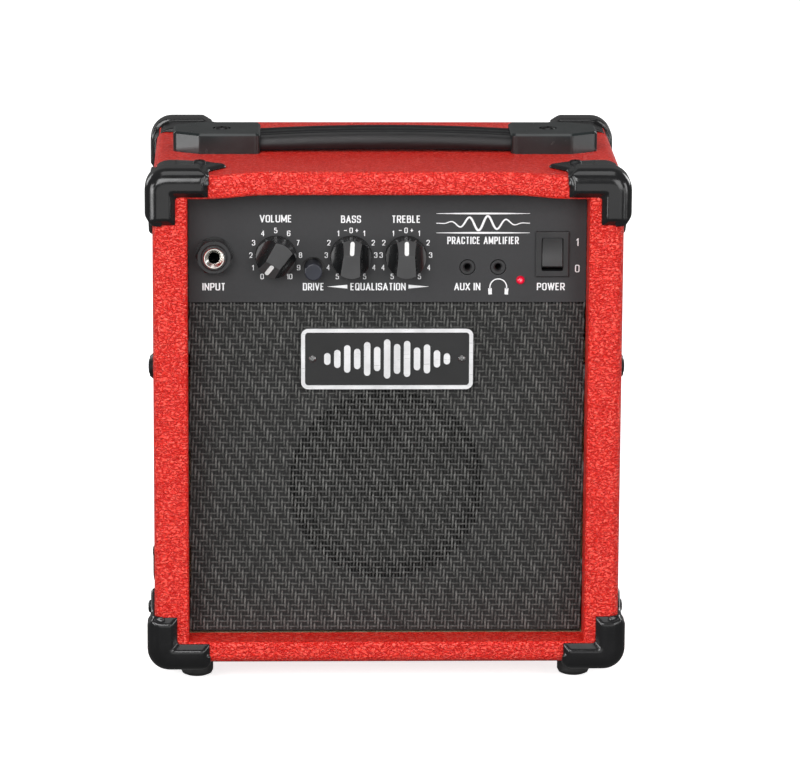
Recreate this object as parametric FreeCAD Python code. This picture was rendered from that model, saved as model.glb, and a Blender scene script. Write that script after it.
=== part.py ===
"""A small practice guitar amplifier: vinyl-covered cabinet, 5 inch speaker and a front control panel.

Millimetres. +X is to the right of a person facing the front, +Y runs from the front to the back,
+Z is up. The origin is on the surface that the feet stand on, under the middle of the cabinet.
"""
import FreeCAD
import Part
import math
import os
from FreeCAD import Vector

# ---------------------------------------------------------------- cabinet
CAB_W = 262.0            # across the sides, vinyl included
CAB_D = 176.0            # front edge to back edge
CAB_H = 280.2            # at the sides, without the feet
FOOT_H = 13.0            # cabinet bottom above the ground
EDGE_R = 5.0             # rounding of every outer edge
RIM_R = 2.0              # rounding of the edges of the front and rear openings
SKIN = 0.7               # vinyl thickness
SIDE_T = 19.4            # wall thicknesses, vinyl on both faces included
TOP_T = 13.1
BOTTOM_T = 12.3
RECESS = 21.0            # front edge to the face of the grille and panel
REAR_RECESS = 6.0        # back edge to the face of the rear panel
CROWN = 2.2              # rise of the middle of the front top edge
CROWN_FLAT = 65.0        # half width of the level middle of the crown
CROWN_END = 103.0        # half width at which the crown has died out
CROWN_RUN = 55.0         # depth over which the crown fades into a level top
GAP = 0.3                # clearance round loose pieces

X_SIDE = CAB_W / 2
Y_FRONT = -CAB_D / 2
Y_BACK = CAB_D / 2
Z_BOTTOM = FOOT_H
Z_TOP = FOOT_H + CAB_H
OPEN_X = X_SIDE - SIDE_T
OPEN_LOW = Z_BOTTOM + BOTTOM_T
OPEN_HIGH = Z_TOP - TOP_T
Y_FACE = Y_FRONT + RECESS
Y_REAR_FACE = Y_BACK - REAR_RECESS
BARE_X = OPEN_X + SKIN   # inner face of the bare side boards

# ---------------------------------------------------------------- baffle, grille and panel
PANEL_LOW = 217.6        # lower edge of the control panel, upper edge of the grille
CLOTH_T = 0.8
BAFFLE_T = 12.0
PANEL_T = 1.6
TRAY_T = 1.2
TRAY_BACK = 45.0         # back edge of the chassis tray
TRAY_X = 104.0
TRAY_LIP = 30.0          # height of the tray's rear lip
REAR_PANEL_T = 6.0
CLEAT = 12.0             # square section of the wooden cleats
Y_BAFFLE_BACK = Y_FACE + CLOTH_T + BAFFLE_T
Y_PANEL_BACK = Y_FACE + PANEL_T
Y_FLANGE_BACK = Y_PANEL_BACK + TRAY_T
Z_TRAY = PANEL_LOW + 1.4

BADGE_W = 96.6
BADGE_H = 34.8
BADGE_Z = 185.5
BADGE_T = 2.0
BADGE_RIM = 0.8          # how far the rim stands above the plate
BADGE_RIM_W = 2.2
BADGE_R = 4.0
BADGE_SCREW_X = 42.0

# ---------------------------------------------------------------- corners, feet, handle
CORNER_T = 4.2           # thickness of the corner covers at the edges
FLANGE_T = 2.5           # thickness of their leaf-shaped flanges
CORNER_R = 12.5          # rounding of the edge that runs from front to back
CORNER_FRONT_R = 8.0     # rounding of the edges round the front face
CORNER_LEG_X = 31.6      # reach of the front face of a corner along the top or bottom edge
CORNER_LEG_Z = 28.0      # its reach along the side edge
CORNER_WIDE_X = 13.5     # width of the leg on the side edge
CORNER_WIDE_Z = 12.3     # width of the leg on the top or bottom edge
CORNER_WRAP = 16.0       # depth of the thick part behind the front face
CORNER_BEVEL = 4.0
CORNER_RAMP = 5.5        # length of the slope at the end of each leg
FLANGE_SCREW = (26.0, 28.0)
FOOT_X = 107.5
FOOT_Y = 62.0
FOOT_R = 9.25

CAP_IN = 71.0            # handle end caps: inner end, start of the taper, outer end
CAP_TAPER = 105.5
CAP_OUT = 120.5
CAP_HALF = 20.0
CAP_TIP_HALF = 11.0
CAP_H = 11.5
CAP_BEVEL = 1.2
CAP_SCREW_X = 93.0
STRAP_W = 28.0
STRAP_END_LOW = 0.7      # strap surfaces above the top board, at the caps and in the middle
STRAP_END_HIGH = 9.2
STRAP_MID_LOW = 1.9
STRAP_MID_HIGH = 11.6
STRAP_TUCK = 6.0         # length of strap inside each cap
GRIP_HALF = 30.0         # half length of the middle part, which lifts straight up

# ---------------------------------------------------------------- controls on the panel (x, z)
KNOBS = {"volume": (-62.5, 244.1), "bass": (-20.4, 244.1), "treble": (10.3, 244.1)}
KNOB_REST = {"volume": 147.0, "bass": -4.0, "treble": -1.0}   # degrees anticlockwise from straight up
KNOB_R = 11.7            # at the panel
KNOB_TIP_R = 10.2        # at the front
KNOB_H = 14.8
KNOB_LIFT = 0.9          # gap between the panel and the knob
SCOOP_R = 13.0           # round scoops that leave the bar grip: radius, axis position, taper
SCOOP_X = 17.85
SCOOP_H = 16.0
SCOOP_TURN = 4.5
SLOPE_START = 2.9        # the pointer end of the bar slopes away from here at this angle
SLOPE_ANGLE = 35.0
SHAFT_R = 3.0
SHAFT_GRIP = 11.0        # length of shaft inside the knob
RUNNING = 0.05           # radial clearance of turning and sliding fits
BUSHING_R = 3.5
INPUT_JACK = (-96.9, 244.7)
JACK_NUT_OUT = 7.8       # how far the nut and the sleeve stand in front of the panel
JACK_SLEEVE_OUT = 11.0
JACK_MOUTH = 1.8         # depth of the cone at the sleeve's mouth
SLEEVE_R = 6.0           # metal sleeve of the instrument socket
PLUG_R = 3.25            # bore for a 6.35 mm plug
SMALL_JACKS = ((44.8, 237.6), (62.0, 237.6))
SMALL_JACK_R = 4.0
SMALL_HOLE_R = 4.5
SMALL_BORE = 1.8         # bore for a 3.5 mm plug
DRIVE = (-41.6, 237.3)
DRIVE_OUT = 13.0         # how far the button stands in front of the panel
DRIVE_R = 4.9
DRIVE_TUBE_R = 5.6       # guide tube that reaches through the panel
DRIVE_TRAVEL = 3.0
LAMP = (74.6, 230.2)
LAMP_R = 2.5
LEAD_HOLE = (-64.0, -30.0)   # x, y of the hole in the tray for the speaker leads
POWER = (92.3, 245.2)
POWER_SWING = 10.0       # degrees each side of level
SWITCH_W = 12.2          # window for the rocker
SWITCH_H = 19.0
SWITCH_WALL = 1.1
SWITCH_PIVOT = 5.0       # pivot behind the panel face
TRUNNION_R = 1.2
PCB_FRONT = -50.0
PCB_T = 1.6

# ---------------------------------------------------------------- speaker
SPEAKER_Z = 112.0
SPEAKER_R = 65.0
COIL_R = 12.6            # voice coil, inside
COIL_T = 0.5
MAINS_INLET = (85.0, 190.0)

parts = {}


# ---------------------------------------------------------------- general helpers
def box(low, high):
    """A box between two corners."""
    return Part.makeBox(high[0] - low[0], high[1] - low[1], high[2] - low[2], Vector(*low))


def rod(x, z, y_front, y_back, radius):
    """A cylinder along the depth of the cabinet."""
    return Part.makeCylinder(radius, y_back - y_front, Vector(x, y_front, z), Vector(0, 1, 0))


def post(x, y, z_low, z_high, radius):
    """A vertical cylinder."""
    return Part.makeCylinder(radius, z_high - z_low, Vector(x, y, z_low))


def lathe(profile, centre, axis):
    """Turn a closed (radius, distance along the axis) outline about an axis through centre."""
    points = [Vector(radius, 0, along) for radius, along in profile]
    face = Part.Face(Part.makePolygon(points + points[:1]))
    solid = face.revolve(Vector(0, 0, 0), Vector(0, 0, 1), 360)
    return place(solid, centre, axis)


def place(solid, centre, axis):
    """Lay a solid drawn about +Z along another axis."""
    solid = solid.copy()
    turn = FreeCAD.Rotation(Vector(0, 0, 1), Vector(*axis))
    solid.Placement = FreeCAD.Placement(Vector(*centre), turn)
    return solid


def corner_arc(before, corner, after, bend):
    """The tangent arc of radius bend that rounds one corner: its start, middle and end."""
    inward = (corner - before).normalize()
    outward = (after - corner).normalize()
    half = inward.getAngle(outward) / 2
    setback = bend * math.tan(half)
    aside = (outward - inward).normalize()
    middle = corner + aside * (bend / math.cos(half) - bend)
    return corner - inward * setback, middle, corner + outward * setback


def rounded_loop(points, bend):
    """A closed flat outline with every corner rounded to the same radius."""
    points = [Vector(*p) for p in points]
    arcs = []
    for i, corner in enumerate(points):
        arcs.append(corner_arc(points[i - 1], corner, points[(i + 1) % len(points)], bend))
    edges = []
    for i, (start, middle, end) in enumerate(arcs):
        edges.append(Part.Arc(start, middle, end).toShape())
        edges.append(Part.LineSegment(end, arcs[(i + 1) % len(arcs)][0]).toShape())
    return Part.Wire(edges)


def wire_tube(points, radius):
    """A round wire along straight runs joined by the largest tangent arcs that fit."""
    points = [Vector(*p) for p in points]
    edges = []
    start = points[0]
    for before, corner, after in zip(points, points[1:], points[2:]):
        turn = (corner - before).getAngle(after - corner)
        shorter = min((corner - before).Length, (after - corner).Length)
        bend = 0.45 * shorter / math.tan(turn / 2)
        near, middle, far = corner_arc(before, corner, after, bend)
        edges.append(Part.LineSegment(start, near).toShape())
        edges.append(Part.Arc(near, middle, far).toShape())
        start = far
    edges.append(Part.LineSegment(start, points[-1]).toShape())
    section = Part.Wire(Part.makeCircle(radius, points[0], points[1] - points[0]))
    return Part.Wire(edges).makePipeShell([section], True, False)


def edges_at(solid, test):
    """The edges whose whole length passes the test on its points."""
    return [e for e in solid.Edges if all(test(v.Point) for v in e.Vertexes)]


def cut_all(solid, tools):
    """Cut a solid by each of the tools."""
    for tool in tools:
        solid = solid.cut(tool)
    return solid


def fuse_all(solids):
    """Join touching solids into one."""
    joined = solids[0]
    for solid in solids[1:]:
        joined = joined.fuse(solid)
    return joined.removeSplitter()


def mirror_x(solid):
    """The same piece on the other side of the cabinet."""
    return solid.mirror(Vector(0, 0, 0), Vector(1, 0, 0))


def mirror_y(solid):
    """The same piece at the other end of the depth."""
    return solid.mirror(Vector(0, 0, 0), Vector(0, 1, 0))


def seat(fastener, hosts):
    """Cut the bed of one node out of each node that it passes through."""
    for host in hosts:
        parts[host] = parts[host].cut(parts[fastener])


# ---------------------------------------------------------------- cabinet shapes
def crowned_loop(half, low, high, crown, y):
    """An upright outline whose top edge rises by crown in the middle through two S-curves."""
    run = (CROWN_END - CROWN_FLAT) / 2
    middle = CROWN_FLAT + run
    right = [Vector(-half, y, low), Vector(half, y, low), Vector(half, y, high)]
    edges = [Part.LineSegment(a, b).toShape() for a, b in zip(right, right[1:])]
    if crown:
        radius = (run ** 2 + (crown / 2) ** 2) / crown
        half_turn = math.asin(run / radius) / 2
        over = radius * math.sin(half_turn)
        up = radius * (1 - math.cos(half_turn))
    else:
        over = run / 2
        up = 0.0
    path = [(half, 0), (CROWN_END, 0), (CROWN_END - over, up), (middle, crown / 2),
            (CROWN_FLAT + over, crown - up), (CROWN_FLAT, crown)]
    side = [Vector(x, y, high + rise) for x, rise in path]
    other = [Vector(-p.x, y, p.z) for p in reversed(side)]
    edges.append(Part.LineSegment(side[0], side[1]).toShape())
    edges += [bowed(*side[1:4]), bowed(*side[3:6])]
    edges.append(Part.LineSegment(side[5], other[0]).toShape())
    edges += [bowed(*other[0:3]), bowed(*other[2:5])]
    edges.append(Part.LineSegment(other[4], other[5]).toShape())
    edges.append(Part.LineSegment(other[5], right[0]).toShape())
    return Part.Wire(edges)


def bowed(start, middle, end):
    """An arc through three points, or a straight edge where they are in line."""
    if (middle - start).cross(end - start).Length < 1e-9:
        return Part.LineSegment(start, end).toShape()
    return Part.Arc(start, middle, end).toShape()


def cabinet_block(inset, radius):
    """The whole cabinet as one block, shrunk by inset, with its outer edges rounded."""
    half = X_SIDE - inset
    low = Z_BOTTOM + inset
    high = Z_TOP - inset
    front = Y_FRONT + inset
    fade = Y_FRONT + CROWN_RUN
    crowned = Part.makeLoft([crowned_loop(half, low, high, CROWN, front),
                             crowned_loop(half, low, high, 0, fade)], True, True)
    level = box((-half, fade, low), (half, Y_BACK - inset, high))
    block = crowned.fuse(level).removeSplitter()
    return block.makeFillet(radius, outer_edges(block, half, front, Y_BACK - inset))


def outer_edges(block, half, front, back):
    """The outer edges of the block: round its front, round its back and along its length."""
    def at_end(p):
        return abs(p.y - front) < 1e-6

    def at_back(p):
        return abs(p.y - back) < 1e-6

    def at_side(p):
        return abs(abs(p.x) - half) < 1e-6

    chosen = edges_at(block, at_end) + edges_at(block, at_back)
    for edge in edges_at(block, at_side):
        a, b = (v.Point for v in edge.Vertexes)
        if abs(a.y - b.y) > 1 and abs(a.x - b.x) < 1e-6:
            chosen.append(edge)
    return chosen


def opening(grow, y_front, y_back):
    """The opening through the cabinet: its top follows the crown as far as the panel, then is level."""
    step = Y_PANEL_BACK
    lengths = []
    if y_front < step:
        lengths.append((CROWN, y_front, min(step, y_back)))
    if y_back > step:
        lengths.append((0, max(step, y_front), y_back))
    prisms = []
    for crown, start, end in lengths:
        loop = crowned_loop(OPEN_X + grow, OPEN_LOW - grow, OPEN_HIGH + grow, crown, start)
        prisms.append(Part.Face(loop).extrude(Vector(0, end - start, 0)))
    return fuse_all(prisms)


def cabinet_tube(inset):
    """The cabinet with its opening right through it, shrunk by inset, all its edges rounded."""
    beyond = 1.0
    block = cabinet_block(inset, EDGE_R - inset)
    tube = block.cut(opening(inset, Y_FRONT - beyond, Y_BACK + beyond))
    rims = []
    for end in (Y_FRONT + inset, Y_BACK - inset):
        rims += edges_at(tube, lambda p: abs(p.y - end) < 1e-6 and abs(p.x) < BARE_X + 0.1
                         and OPEN_LOW - 1 < p.z < OPEN_HIGH + CROWN + 1)
    return tube.makeFillet(RIM_R - inset, rims)


def make_cabinet():
    """Four boards butted together and the vinyl that wraps them and lines both recesses."""
    beyond = 1.0
    tube = cabinet_tube(SKIN)
    half_tall = (OPEN_LOW + OPEN_HIGH) / 2
    right = box((BARE_X, Y_FRONT, Z_BOTTOM), (X_SIDE, Y_BACK, Z_TOP + CROWN))
    between = box((-BARE_X, Y_FRONT, half_tall), (BARE_X, Y_BACK, Z_TOP + CROWN + beyond))
    under = box((-BARE_X, Y_FRONT, Z_BOTTOM), (BARE_X, Y_BACK, half_tall))
    parts["side_board_right"] = tube.common(right)
    parts["side_board_left"] = mirror_x(parts["side_board_right"])
    parts["top_board"] = tube.common(between)
    parts["bottom_board"] = tube.common(under)
    bare_inside = opening(SKIN, Y_FACE, Y_REAR_FACE - REAR_PANEL_T)
    parts["vinyl_covering"] = cabinet_tube(0).cut(tube).cut(bare_inside)


# ---------------------------------------------------------------- baffle, grille, badge, cleats
def make_baffle():
    """The speaker board, the woven cloth pulled round its edges, and the wooden cleats."""
    speaker_hole = SPEAKER_R - 10
    cloth_low = OPEN_LOW + GAP
    cloth_high = PANEL_LOW - GAP
    cloth_x = OPEN_X - GAP
    wood_front = Y_FACE + CLOTH_T
    wood = box((-cloth_x + CLOTH_T, wood_front, cloth_low + CLOTH_T),
               (cloth_x - CLOTH_T, Y_BAFFLE_BACK, cloth_high - CLOTH_T))
    wrapped = box((-cloth_x, Y_FACE, cloth_low), (cloth_x, Y_BAFFLE_BACK, cloth_high))
    parts["grille_cloth"] = wrapped.cut(wood)
    parts["baffle_board"] = wood.cut(rod(0, SPEAKER_Z, wood_front, Y_BAFFLE_BACK, speaker_hole))
    parts["wooden_cleats"] = Part.makeCompound(cleats())


def cleats():
    """Square battens: behind the baffle, in front of the rear panel and under the tray."""
    baffle_span = (OPEN_LOW + 15, PANEL_LOW - 25)
    rear_front = Y_REAR_FACE - REAR_PANEL_T - CLEAT
    rear_span = (OPEN_LOW + 15, OPEN_HIGH - 20)
    inner = BARE_X - CLEAT
    right = [
        box((inner, Y_BAFFLE_BACK, baffle_span[0]),
            (BARE_X, Y_BAFFLE_BACK + CLEAT, baffle_span[1])),
        box((inner, rear_front, rear_span[0]), (BARE_X, rear_front + CLEAT, rear_span[1])),
        box((inner, Y_BAFFLE_BACK + 2, Z_TRAY - CLEAT), (BARE_X, TRAY_BACK, Z_TRAY)),
    ]
    return right + [mirror_x(cleat) for cleat in right]


def badge_outline(inset, y):
    """The badge's rounded oblong, drawn upright at depth y."""
    x = BADGE_W / 2 - inset
    z = BADGE_H / 2 - inset
    corners = [(-x, y, BADGE_Z - z), (x, y, BADGE_Z - z), (x, y, BADGE_Z + z), (-x, y, BADGE_Z + z)]
    return Part.Face(rounded_loop(corners, BADGE_R - inset))


def make_badge():
    """A name plate with a raised rim and no name, held by two small screws."""
    front = Y_FACE - BADGE_T
    plate = badge_outline(0, Y_FACE).extrude(Vector(0, -BADGE_T, 0))
    rim = badge_outline(0, front).cut(badge_outline(BADGE_RIM_W, front))
    parts["badge_plate"] = plate.fuse(rim.extrude(Vector(0, -BADGE_RIM, 0))).removeSplitter()
    screws = [panel_screw(x, BADGE_Z, front, 2.0, 0.9, 10.0) for x in (-BADGE_SCREW_X, BADGE_SCREW_X)]
    parts["badge_screws"] = Part.makeCompound(screws)
    seat("badge_screws", ["badge_plate", "grille_cloth", "baffle_board"])


def pan_head(radius, height):
    """Outline of a domed screw head above z = 0, from the rim to the axis."""
    return [(radius, 0), (radius, height * 0.45), (radius * 0.8, height * 0.85),
            (radius * 0.45, height), (0, height)]


def screw(head_r, head_h, shank_r, length, centre, outward):
    """A cross-recessed screw, its head standing outward and its shank going inward."""
    profile = pan_head(head_r, head_h) + [(0, -length), (shank_r, -length), (shank_r, 0)]
    body = lathe(profile, (0, 0, 0), (0, 0, 1))
    arm = head_r * 0.62
    slot = head_r * 0.13
    deep = head_h * 0.5
    for x, y in ((arm, slot), (slot, arm)):
        body = body.cut(box((-x, -y, deep), (x, y, head_h + 1)))
    return place(body, centre, outward)


def panel_screw(x, z, y, head_r, head_h, length):
    """A screw driven towards the back, with its head on the plane y."""
    return screw(head_r, head_h, head_r * 0.5, length, (x, y, z), (0, -1, 0))


# ---------------------------------------------------------------- corner covers
def corner_box(thickness, size):
    """A block round one cabinet corner at the origin, the cabinet lying towards +X, +Y and +Z."""
    block = box((-thickness,) * 3, (size,) * 3)
    block = block.makeFillet(CORNER_R, edges_at(block, lambda p: p.x < 0 and p.z < 0))
    front = edges_at(block, lambda p: p.y < 0 and (p.x < 0 or p.z < 0))
    return block.makeFillet(CORNER_FRONT_R, front)


def bevelled_prism(loop, outward, depth, rise, bevel):
    """An outline on a face of the cabinet, raised along outward, its outer rim bevelled."""
    outward = Vector(*outward)
    face = Part.Face(loop)
    face.translate(outward * -depth)
    prism = face.extrude(outward * (depth + rise))
    top = [e for e in prism.Edges if all(abs(v.Point.dot(outward) - rise) < 1e-6 for v in e.Vertexes)]
    return prism.makeChamfer(bevel, top)


def leg_outline():
    """The L on the front of a corner cover, as (across, down) points."""
    out = -20.0
    return [(out, out), (CORNER_LEG_X, out), (CORNER_LEG_X, CORNER_WIDE_Z),
            (CORNER_WIDE_X, CORNER_WIDE_Z), (CORNER_WIDE_X, CORNER_LEG_Z), (out, CORNER_LEG_Z)]


def leaf_outline(leg):
    """The leaf of a flange, as (along the front edge, back) points."""
    out = -20.0
    return [(out, out), (leg, out), (leg, 12), (leg + 11.5, 26), (leg - 3, 36), (14, 39.5), (out, 39.5)]


def leg_ramps():
    """Wedges that slope the end of each leg of a corner cover down to the board."""
    ramps = []
    far = 2 * CORNER_T
    for reach, upright in ((CORNER_LEG_X, False), (CORNER_LEG_Z, True)):
        section = [(reach, 0), (reach - 2 * CORNER_RAMP, -far), (reach + far, -far)]
        points = [Vector(out, -far, along) if upright else Vector(along, -far, out)
                  for along, out in section]
        wedge = Part.Face(Part.makePolygon(points + points[:1]))
        ramps.append(wedge.extrude(Vector(0, CORNER_WRAP + 2 * far, 0)))
    return ramps


def corner_cover():
    """One moulded cover at the corner of a cabinet in the +X, +Y, +Z octant; y is the depth."""
    reach = 60.0
    thick = corner_box(CORNER_T, reach)
    thin = corner_box(FLANGE_T, reach)
    legs = [Vector(x, 0, z) for x, z in leg_outline()]
    mitred = Part.makePolygon(legs + legs[:1])
    front = bevelled_prism(mitred, (0, -1, 0), CORNER_WRAP, CORNER_T, CORNER_BEVEL)
    top_leaf = [(x, y, 0) for x, y in leaf_outline(CORNER_LEG_X)]
    side_leaf = [(0, y, z) for z, y in leaf_outline(CORNER_LEG_Z)]
    top = bevelled_prism(rounded_loop(top_leaf, 4.0), (0, 0, -1), EDGE_R, FLANGE_T, FLANGE_T - 0.8)
    side = bevelled_prism(rounded_loop(side_leaf, 4.0), (-1, 0, 0), EDGE_R, FLANGE_T, FLANGE_T - 0.8)
    legs_solid = cut_all(thick.common(front), leg_ramps())
    cover = legs_solid.fuse([thin.common(top), thin.common(side)])
    return cover.removeSplitter()


def make_corners():
    """Eight covers, two to a node, cut to the cabinet that they sit on."""
    envelope = cabinet_block(0, EDGE_R)
    top = corner_cover()
    top = top.mirror(Vector(0, 0, 0), Vector(0, 0, 1))
    top.translate(Vector(-X_SIDE, Y_FRONT, Z_TOP))
    bottom = corner_cover()
    bottom.translate(Vector(-X_SIDE, Y_FRONT, Z_BOTTOM))
    for level, cover in (("top", top), ("bottom", bottom)):
        left = cover.cut(envelope)
        pair = [left, mirror_x(left)]
        parts[f"corners_front_{level}"] = Part.makeCompound(pair)
        rear = mirror_y(cover).cut(envelope)
        parts[f"corners_rear_{level}"] = Part.makeCompound([rear, mirror_x(rear)])


def make_corner_screws():
    """Screws through the flanges: one in each side flange and one in each top flange."""
    across, back = FLANGE_SCREW
    screws = []
    for turn_x in (-1, 1):
        for turn_y in (-1, 1):
            y = turn_y * (CAB_D / 2 - back)
            on_top = (turn_x * (X_SIDE - across), y, Z_TOP + FLANGE_T)
            screws.append(screw(3.6, 1.6, 1.6, 11.0, on_top, (0, 0, 1)))
            for z in (Z_BOTTOM + across, Z_TOP - across):
                on_side = (turn_x * (X_SIDE + FLANGE_T), y, z)
                screws.append(screw(3.6, 1.6, 1.6, 14.0, on_side, (turn_x, 0, 0)))
    parts["corner_screws"] = Part.makeCompound(screws)
    corners = [f"corners_{end}_{level}" for end in ("front", "rear") for level in ("top", "bottom")]
    seat("corner_screws", corners + ["vinyl_covering", "side_board_left", "side_board_right",
                                     "top_board"])


def make_feet():
    """Four rubber feet standing on the bottom flanges, each with a screw up its middle."""
    top = Z_BOTTOM - FLANGE_T
    seat_z = 4.5
    bore = 4.2
    foot = [(0, seat_z), (bore, seat_z), (bore, 0), (FOOT_R - 2.6, 0), (FOOT_R - 0.9, 0.8),
            (FOOT_R, 2.6), (FOOT_R, top), (0, top)]
    feet = []
    screws = []
    for x in (-FOOT_X, FOOT_X):
        for y in (-FOOT_Y, FOOT_Y):
            feet.append(lathe(foot, (x, y, 0), (0, 0, 1)))
            screws.append(screw(3.6, 1.6, 1.8, 16.0, (x, y, seat_z), (0, 0, -1)))
    parts["rubber_feet"] = Part.makeCompound(feet)
    parts["foot_screws"] = Part.makeCompound(screws)
    seat("foot_screws", ["rubber_feet", "corners_front_bottom", "corners_rear_bottom",
                         "vinyl_covering", "bottom_board"])


# ---------------------------------------------------------------- handle
def strap_block(grow):
    """The whole strap, arched upwards between the caps; grow swells its section."""
    end = CAP_IN + STRAP_TUCK + max(grow, 0)
    heights = ((STRAP_END_LOW - grow, STRAP_MID_LOW - grow), (STRAP_END_HIGH + grow, STRAP_MID_HIGH + grow))
    half = STRAP_W / 2 + grow
    low, high = [[Vector(-end, -half, Z_TOP + at_end), Vector(0, -half, Z_TOP + at_middle),
                  Vector(end, -half, Z_TOP + at_end)] for at_end, at_middle in heights]
    edges = [Part.Arc(*low).toShape(), Part.LineSegment(low[2], high[2]).toShape(),
             Part.Arc(*high).toShape(), Part.LineSegment(high[0], low[0]).toShape()]
    solid = Part.Face(Part.Wire(Part.__sortEdges__(edges))).extrude(Vector(0, 2 * half, 0))
    if grow:
        return solid
    return solid.makeFillet(2.0, edges_at(solid, lambda p: p.z > Z_TOP + STRAP_END_HIGH - 0.1)[:2])


def make_handle():
    """A moulded strap that lifts between two screwed end caps."""
    strap = strap_block(0)
    far = CAP_IN + STRAP_TUCK
    tall = 2 * CAP_H
    middle = GRIP_HALF - GAP / 2
    ends = GRIP_HALF + GAP / 2
    parts["strap_grip"] = strap.common(box((-middle, -CAP_HALF, Z_TOP), (middle, CAP_HALF, Z_TOP + tall)))
    parts["strap_right"] = strap.common(box((ends, -CAP_HALF, Z_TOP), (far, CAP_HALF, Z_TOP + tall)))
    parts["strap_left"] = mirror_x(parts["strap_right"])
    parts["handle_cap_right"] = handle_cap()
    parts["handle_cap_left"] = mirror_x(parts["handle_cap_right"])
    top = Z_TOP + CAP_H - 1.2
    screws = [screw(4.2, 1.9, 2.0, 20.0, (x, 0, top), (0, 0, 1)) for x in (-CAP_SCREW_X, CAP_SCREW_X)]
    parts["handle_screws"] = Part.makeCompound(screws)
    for cap in ("handle_cap_left", "handle_cap_right"):
        parts[cap] = cut_all(parts[cap], [post(x, 0, top, top + 5, 5.2) for x in (-CAP_SCREW_X, CAP_SCREW_X)])
    seat("handle_screws", ["handle_cap_left", "handle_cap_right", "vinyl_covering", "top_board"])


def handle_cap():
    """The right-hand cap: a bevelled block with a tunnel for the strap's end."""
    outline = [(CAP_IN, -CAP_HALF), (CAP_TAPER, -CAP_HALF), (CAP_OUT, -CAP_TIP_HALF),
               (CAP_OUT, CAP_TIP_HALF), (CAP_TAPER, CAP_HALF), (CAP_IN, CAP_HALF)]
    points = [(x, y, 0) for x, y in outline]
    block = bevelled_prism(rounded_loop(points, 4.0), (0, 0, 1), 0, CAP_H, CAP_BEVEL)
    block.translate(Vector(0, 0, Z_TOP))
    return block.cut(strap_block(GAP))


# ---------------------------------------------------------------- side fixings and rear panel
def make_side_fixings():
    """A cup washer and screw in each side, going into the edge of the baffle."""
    z = 179.5
    y = Y_FACE + CLOTH_T + BAFFLE_T / 2
    cup = [(2.0, 0), (7.35, 0), (7.35, 0.5), (5.6, 2.4), (4.6, 2.4), (3.2, 0.9), (2.0, 0.9)]
    dome = [(0, 0.9), (3.2, 0.9), (4.6, 2.4), (3.2, 3.0), (0, 3.2)]
    shank = 26.0
    cups = []
    screws = []
    for side in (-1, 1):
        centre = (side * X_SIDE, y, z)
        cups.append(lathe(cup, centre, (side, 0, 0)))
        head = lathe(dome, (0, 0, 0), (0, 0, 1))
        body = head.fuse(post(0, 0, -shank, 1.0, 2.0)).removeSplitter()
        for arm, slot in ((2.6, 0.5), (0.5, 2.6)):
            body = body.cut(box((-arm, -slot, 2.0), (arm, slot, 4)))
        screws.append(place(body, centre, (side, 0, 0)))
    parts["cup_washers"] = Part.makeCompound(cups)
    parts["side_screws"] = Part.makeCompound(screws)
    seat("side_screws", ["vinyl_covering", "side_board_left", "side_board_right", "grille_cloth",
                         "baffle_board"])


def make_rear_panel():
    """The back board with its screws and the fused mains inlet."""
    y_in = Y_REAR_FACE - REAR_PANEL_T
    inset = GAP
    parts["rear_panel"] = box((-OPEN_X + inset, y_in, OPEN_LOW + inset),
                              (OPEN_X - inset, Y_REAR_FACE, OPEN_HIGH - inset))
    screws = []
    edge_x = BARE_X - CLEAT / 2
    for x in (-edge_x, edge_x):
        for z in (60.0, 115.0, 150.0, 235.0):
            screws.append(screw(4.0, 1.7, 1.7, 16.0, (x, Y_REAR_FACE, z), (0, 1, 0)))
    parts["rear_panel_screws"] = Part.makeCompound(screws)
    seat("rear_panel_screws", ["rear_panel", "wooden_cleats"])
    make_mains_inlet()


def make_mains_inlet():
    """A three-pin inlet in a screwed flange, upright, with two solder tags behind it."""
    x, z = MAINS_INLET
    flange_t = 2.6
    deep = 18.0
    half_x, half_z = 9.9, 13.7
    back = Y_REAR_FACE + flange_t
    flange = box((x - 11.3, Y_REAR_FACE, z - 25), (x + 11.3, back, z + 25))
    body = box((x - half_x, Y_REAR_FACE - deep, z - half_z), (x + half_x, Y_REAR_FACE, z + half_z))
    mouth = box((x - 8.2, back - 16, z - 12.2), (x + 8.2, back + 1, z + 12.2))
    shell = flange.fuse(body).removeSplitter().cut(mouth)
    pin_front = back - 16
    pins = [box((x + dx - 1.1, pin_front, z + dz - 2.1), (x + dx + 1.1, back - 4, z + dz + 2.1))
            for dx, dz in ((-2.5, -7), (-2.5, 7), (2.5, 0))]
    holes = [rod(x, z + dz, Y_REAR_FACE - 12, back, 1.6) for dz in (-20, 20)]
    heads = [screw(3.2, 1.4, 1.6, 12.0, (x, back, z + dz), (0, 1, 0)) for dz in (-20, 20)]
    parts["mains_inlet"] = Part.makeCompound([cut_all(shell, holes)] + pins + heads)
    parts["rear_panel"] = cut_all(parts["rear_panel"], [body] + heads)


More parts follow.
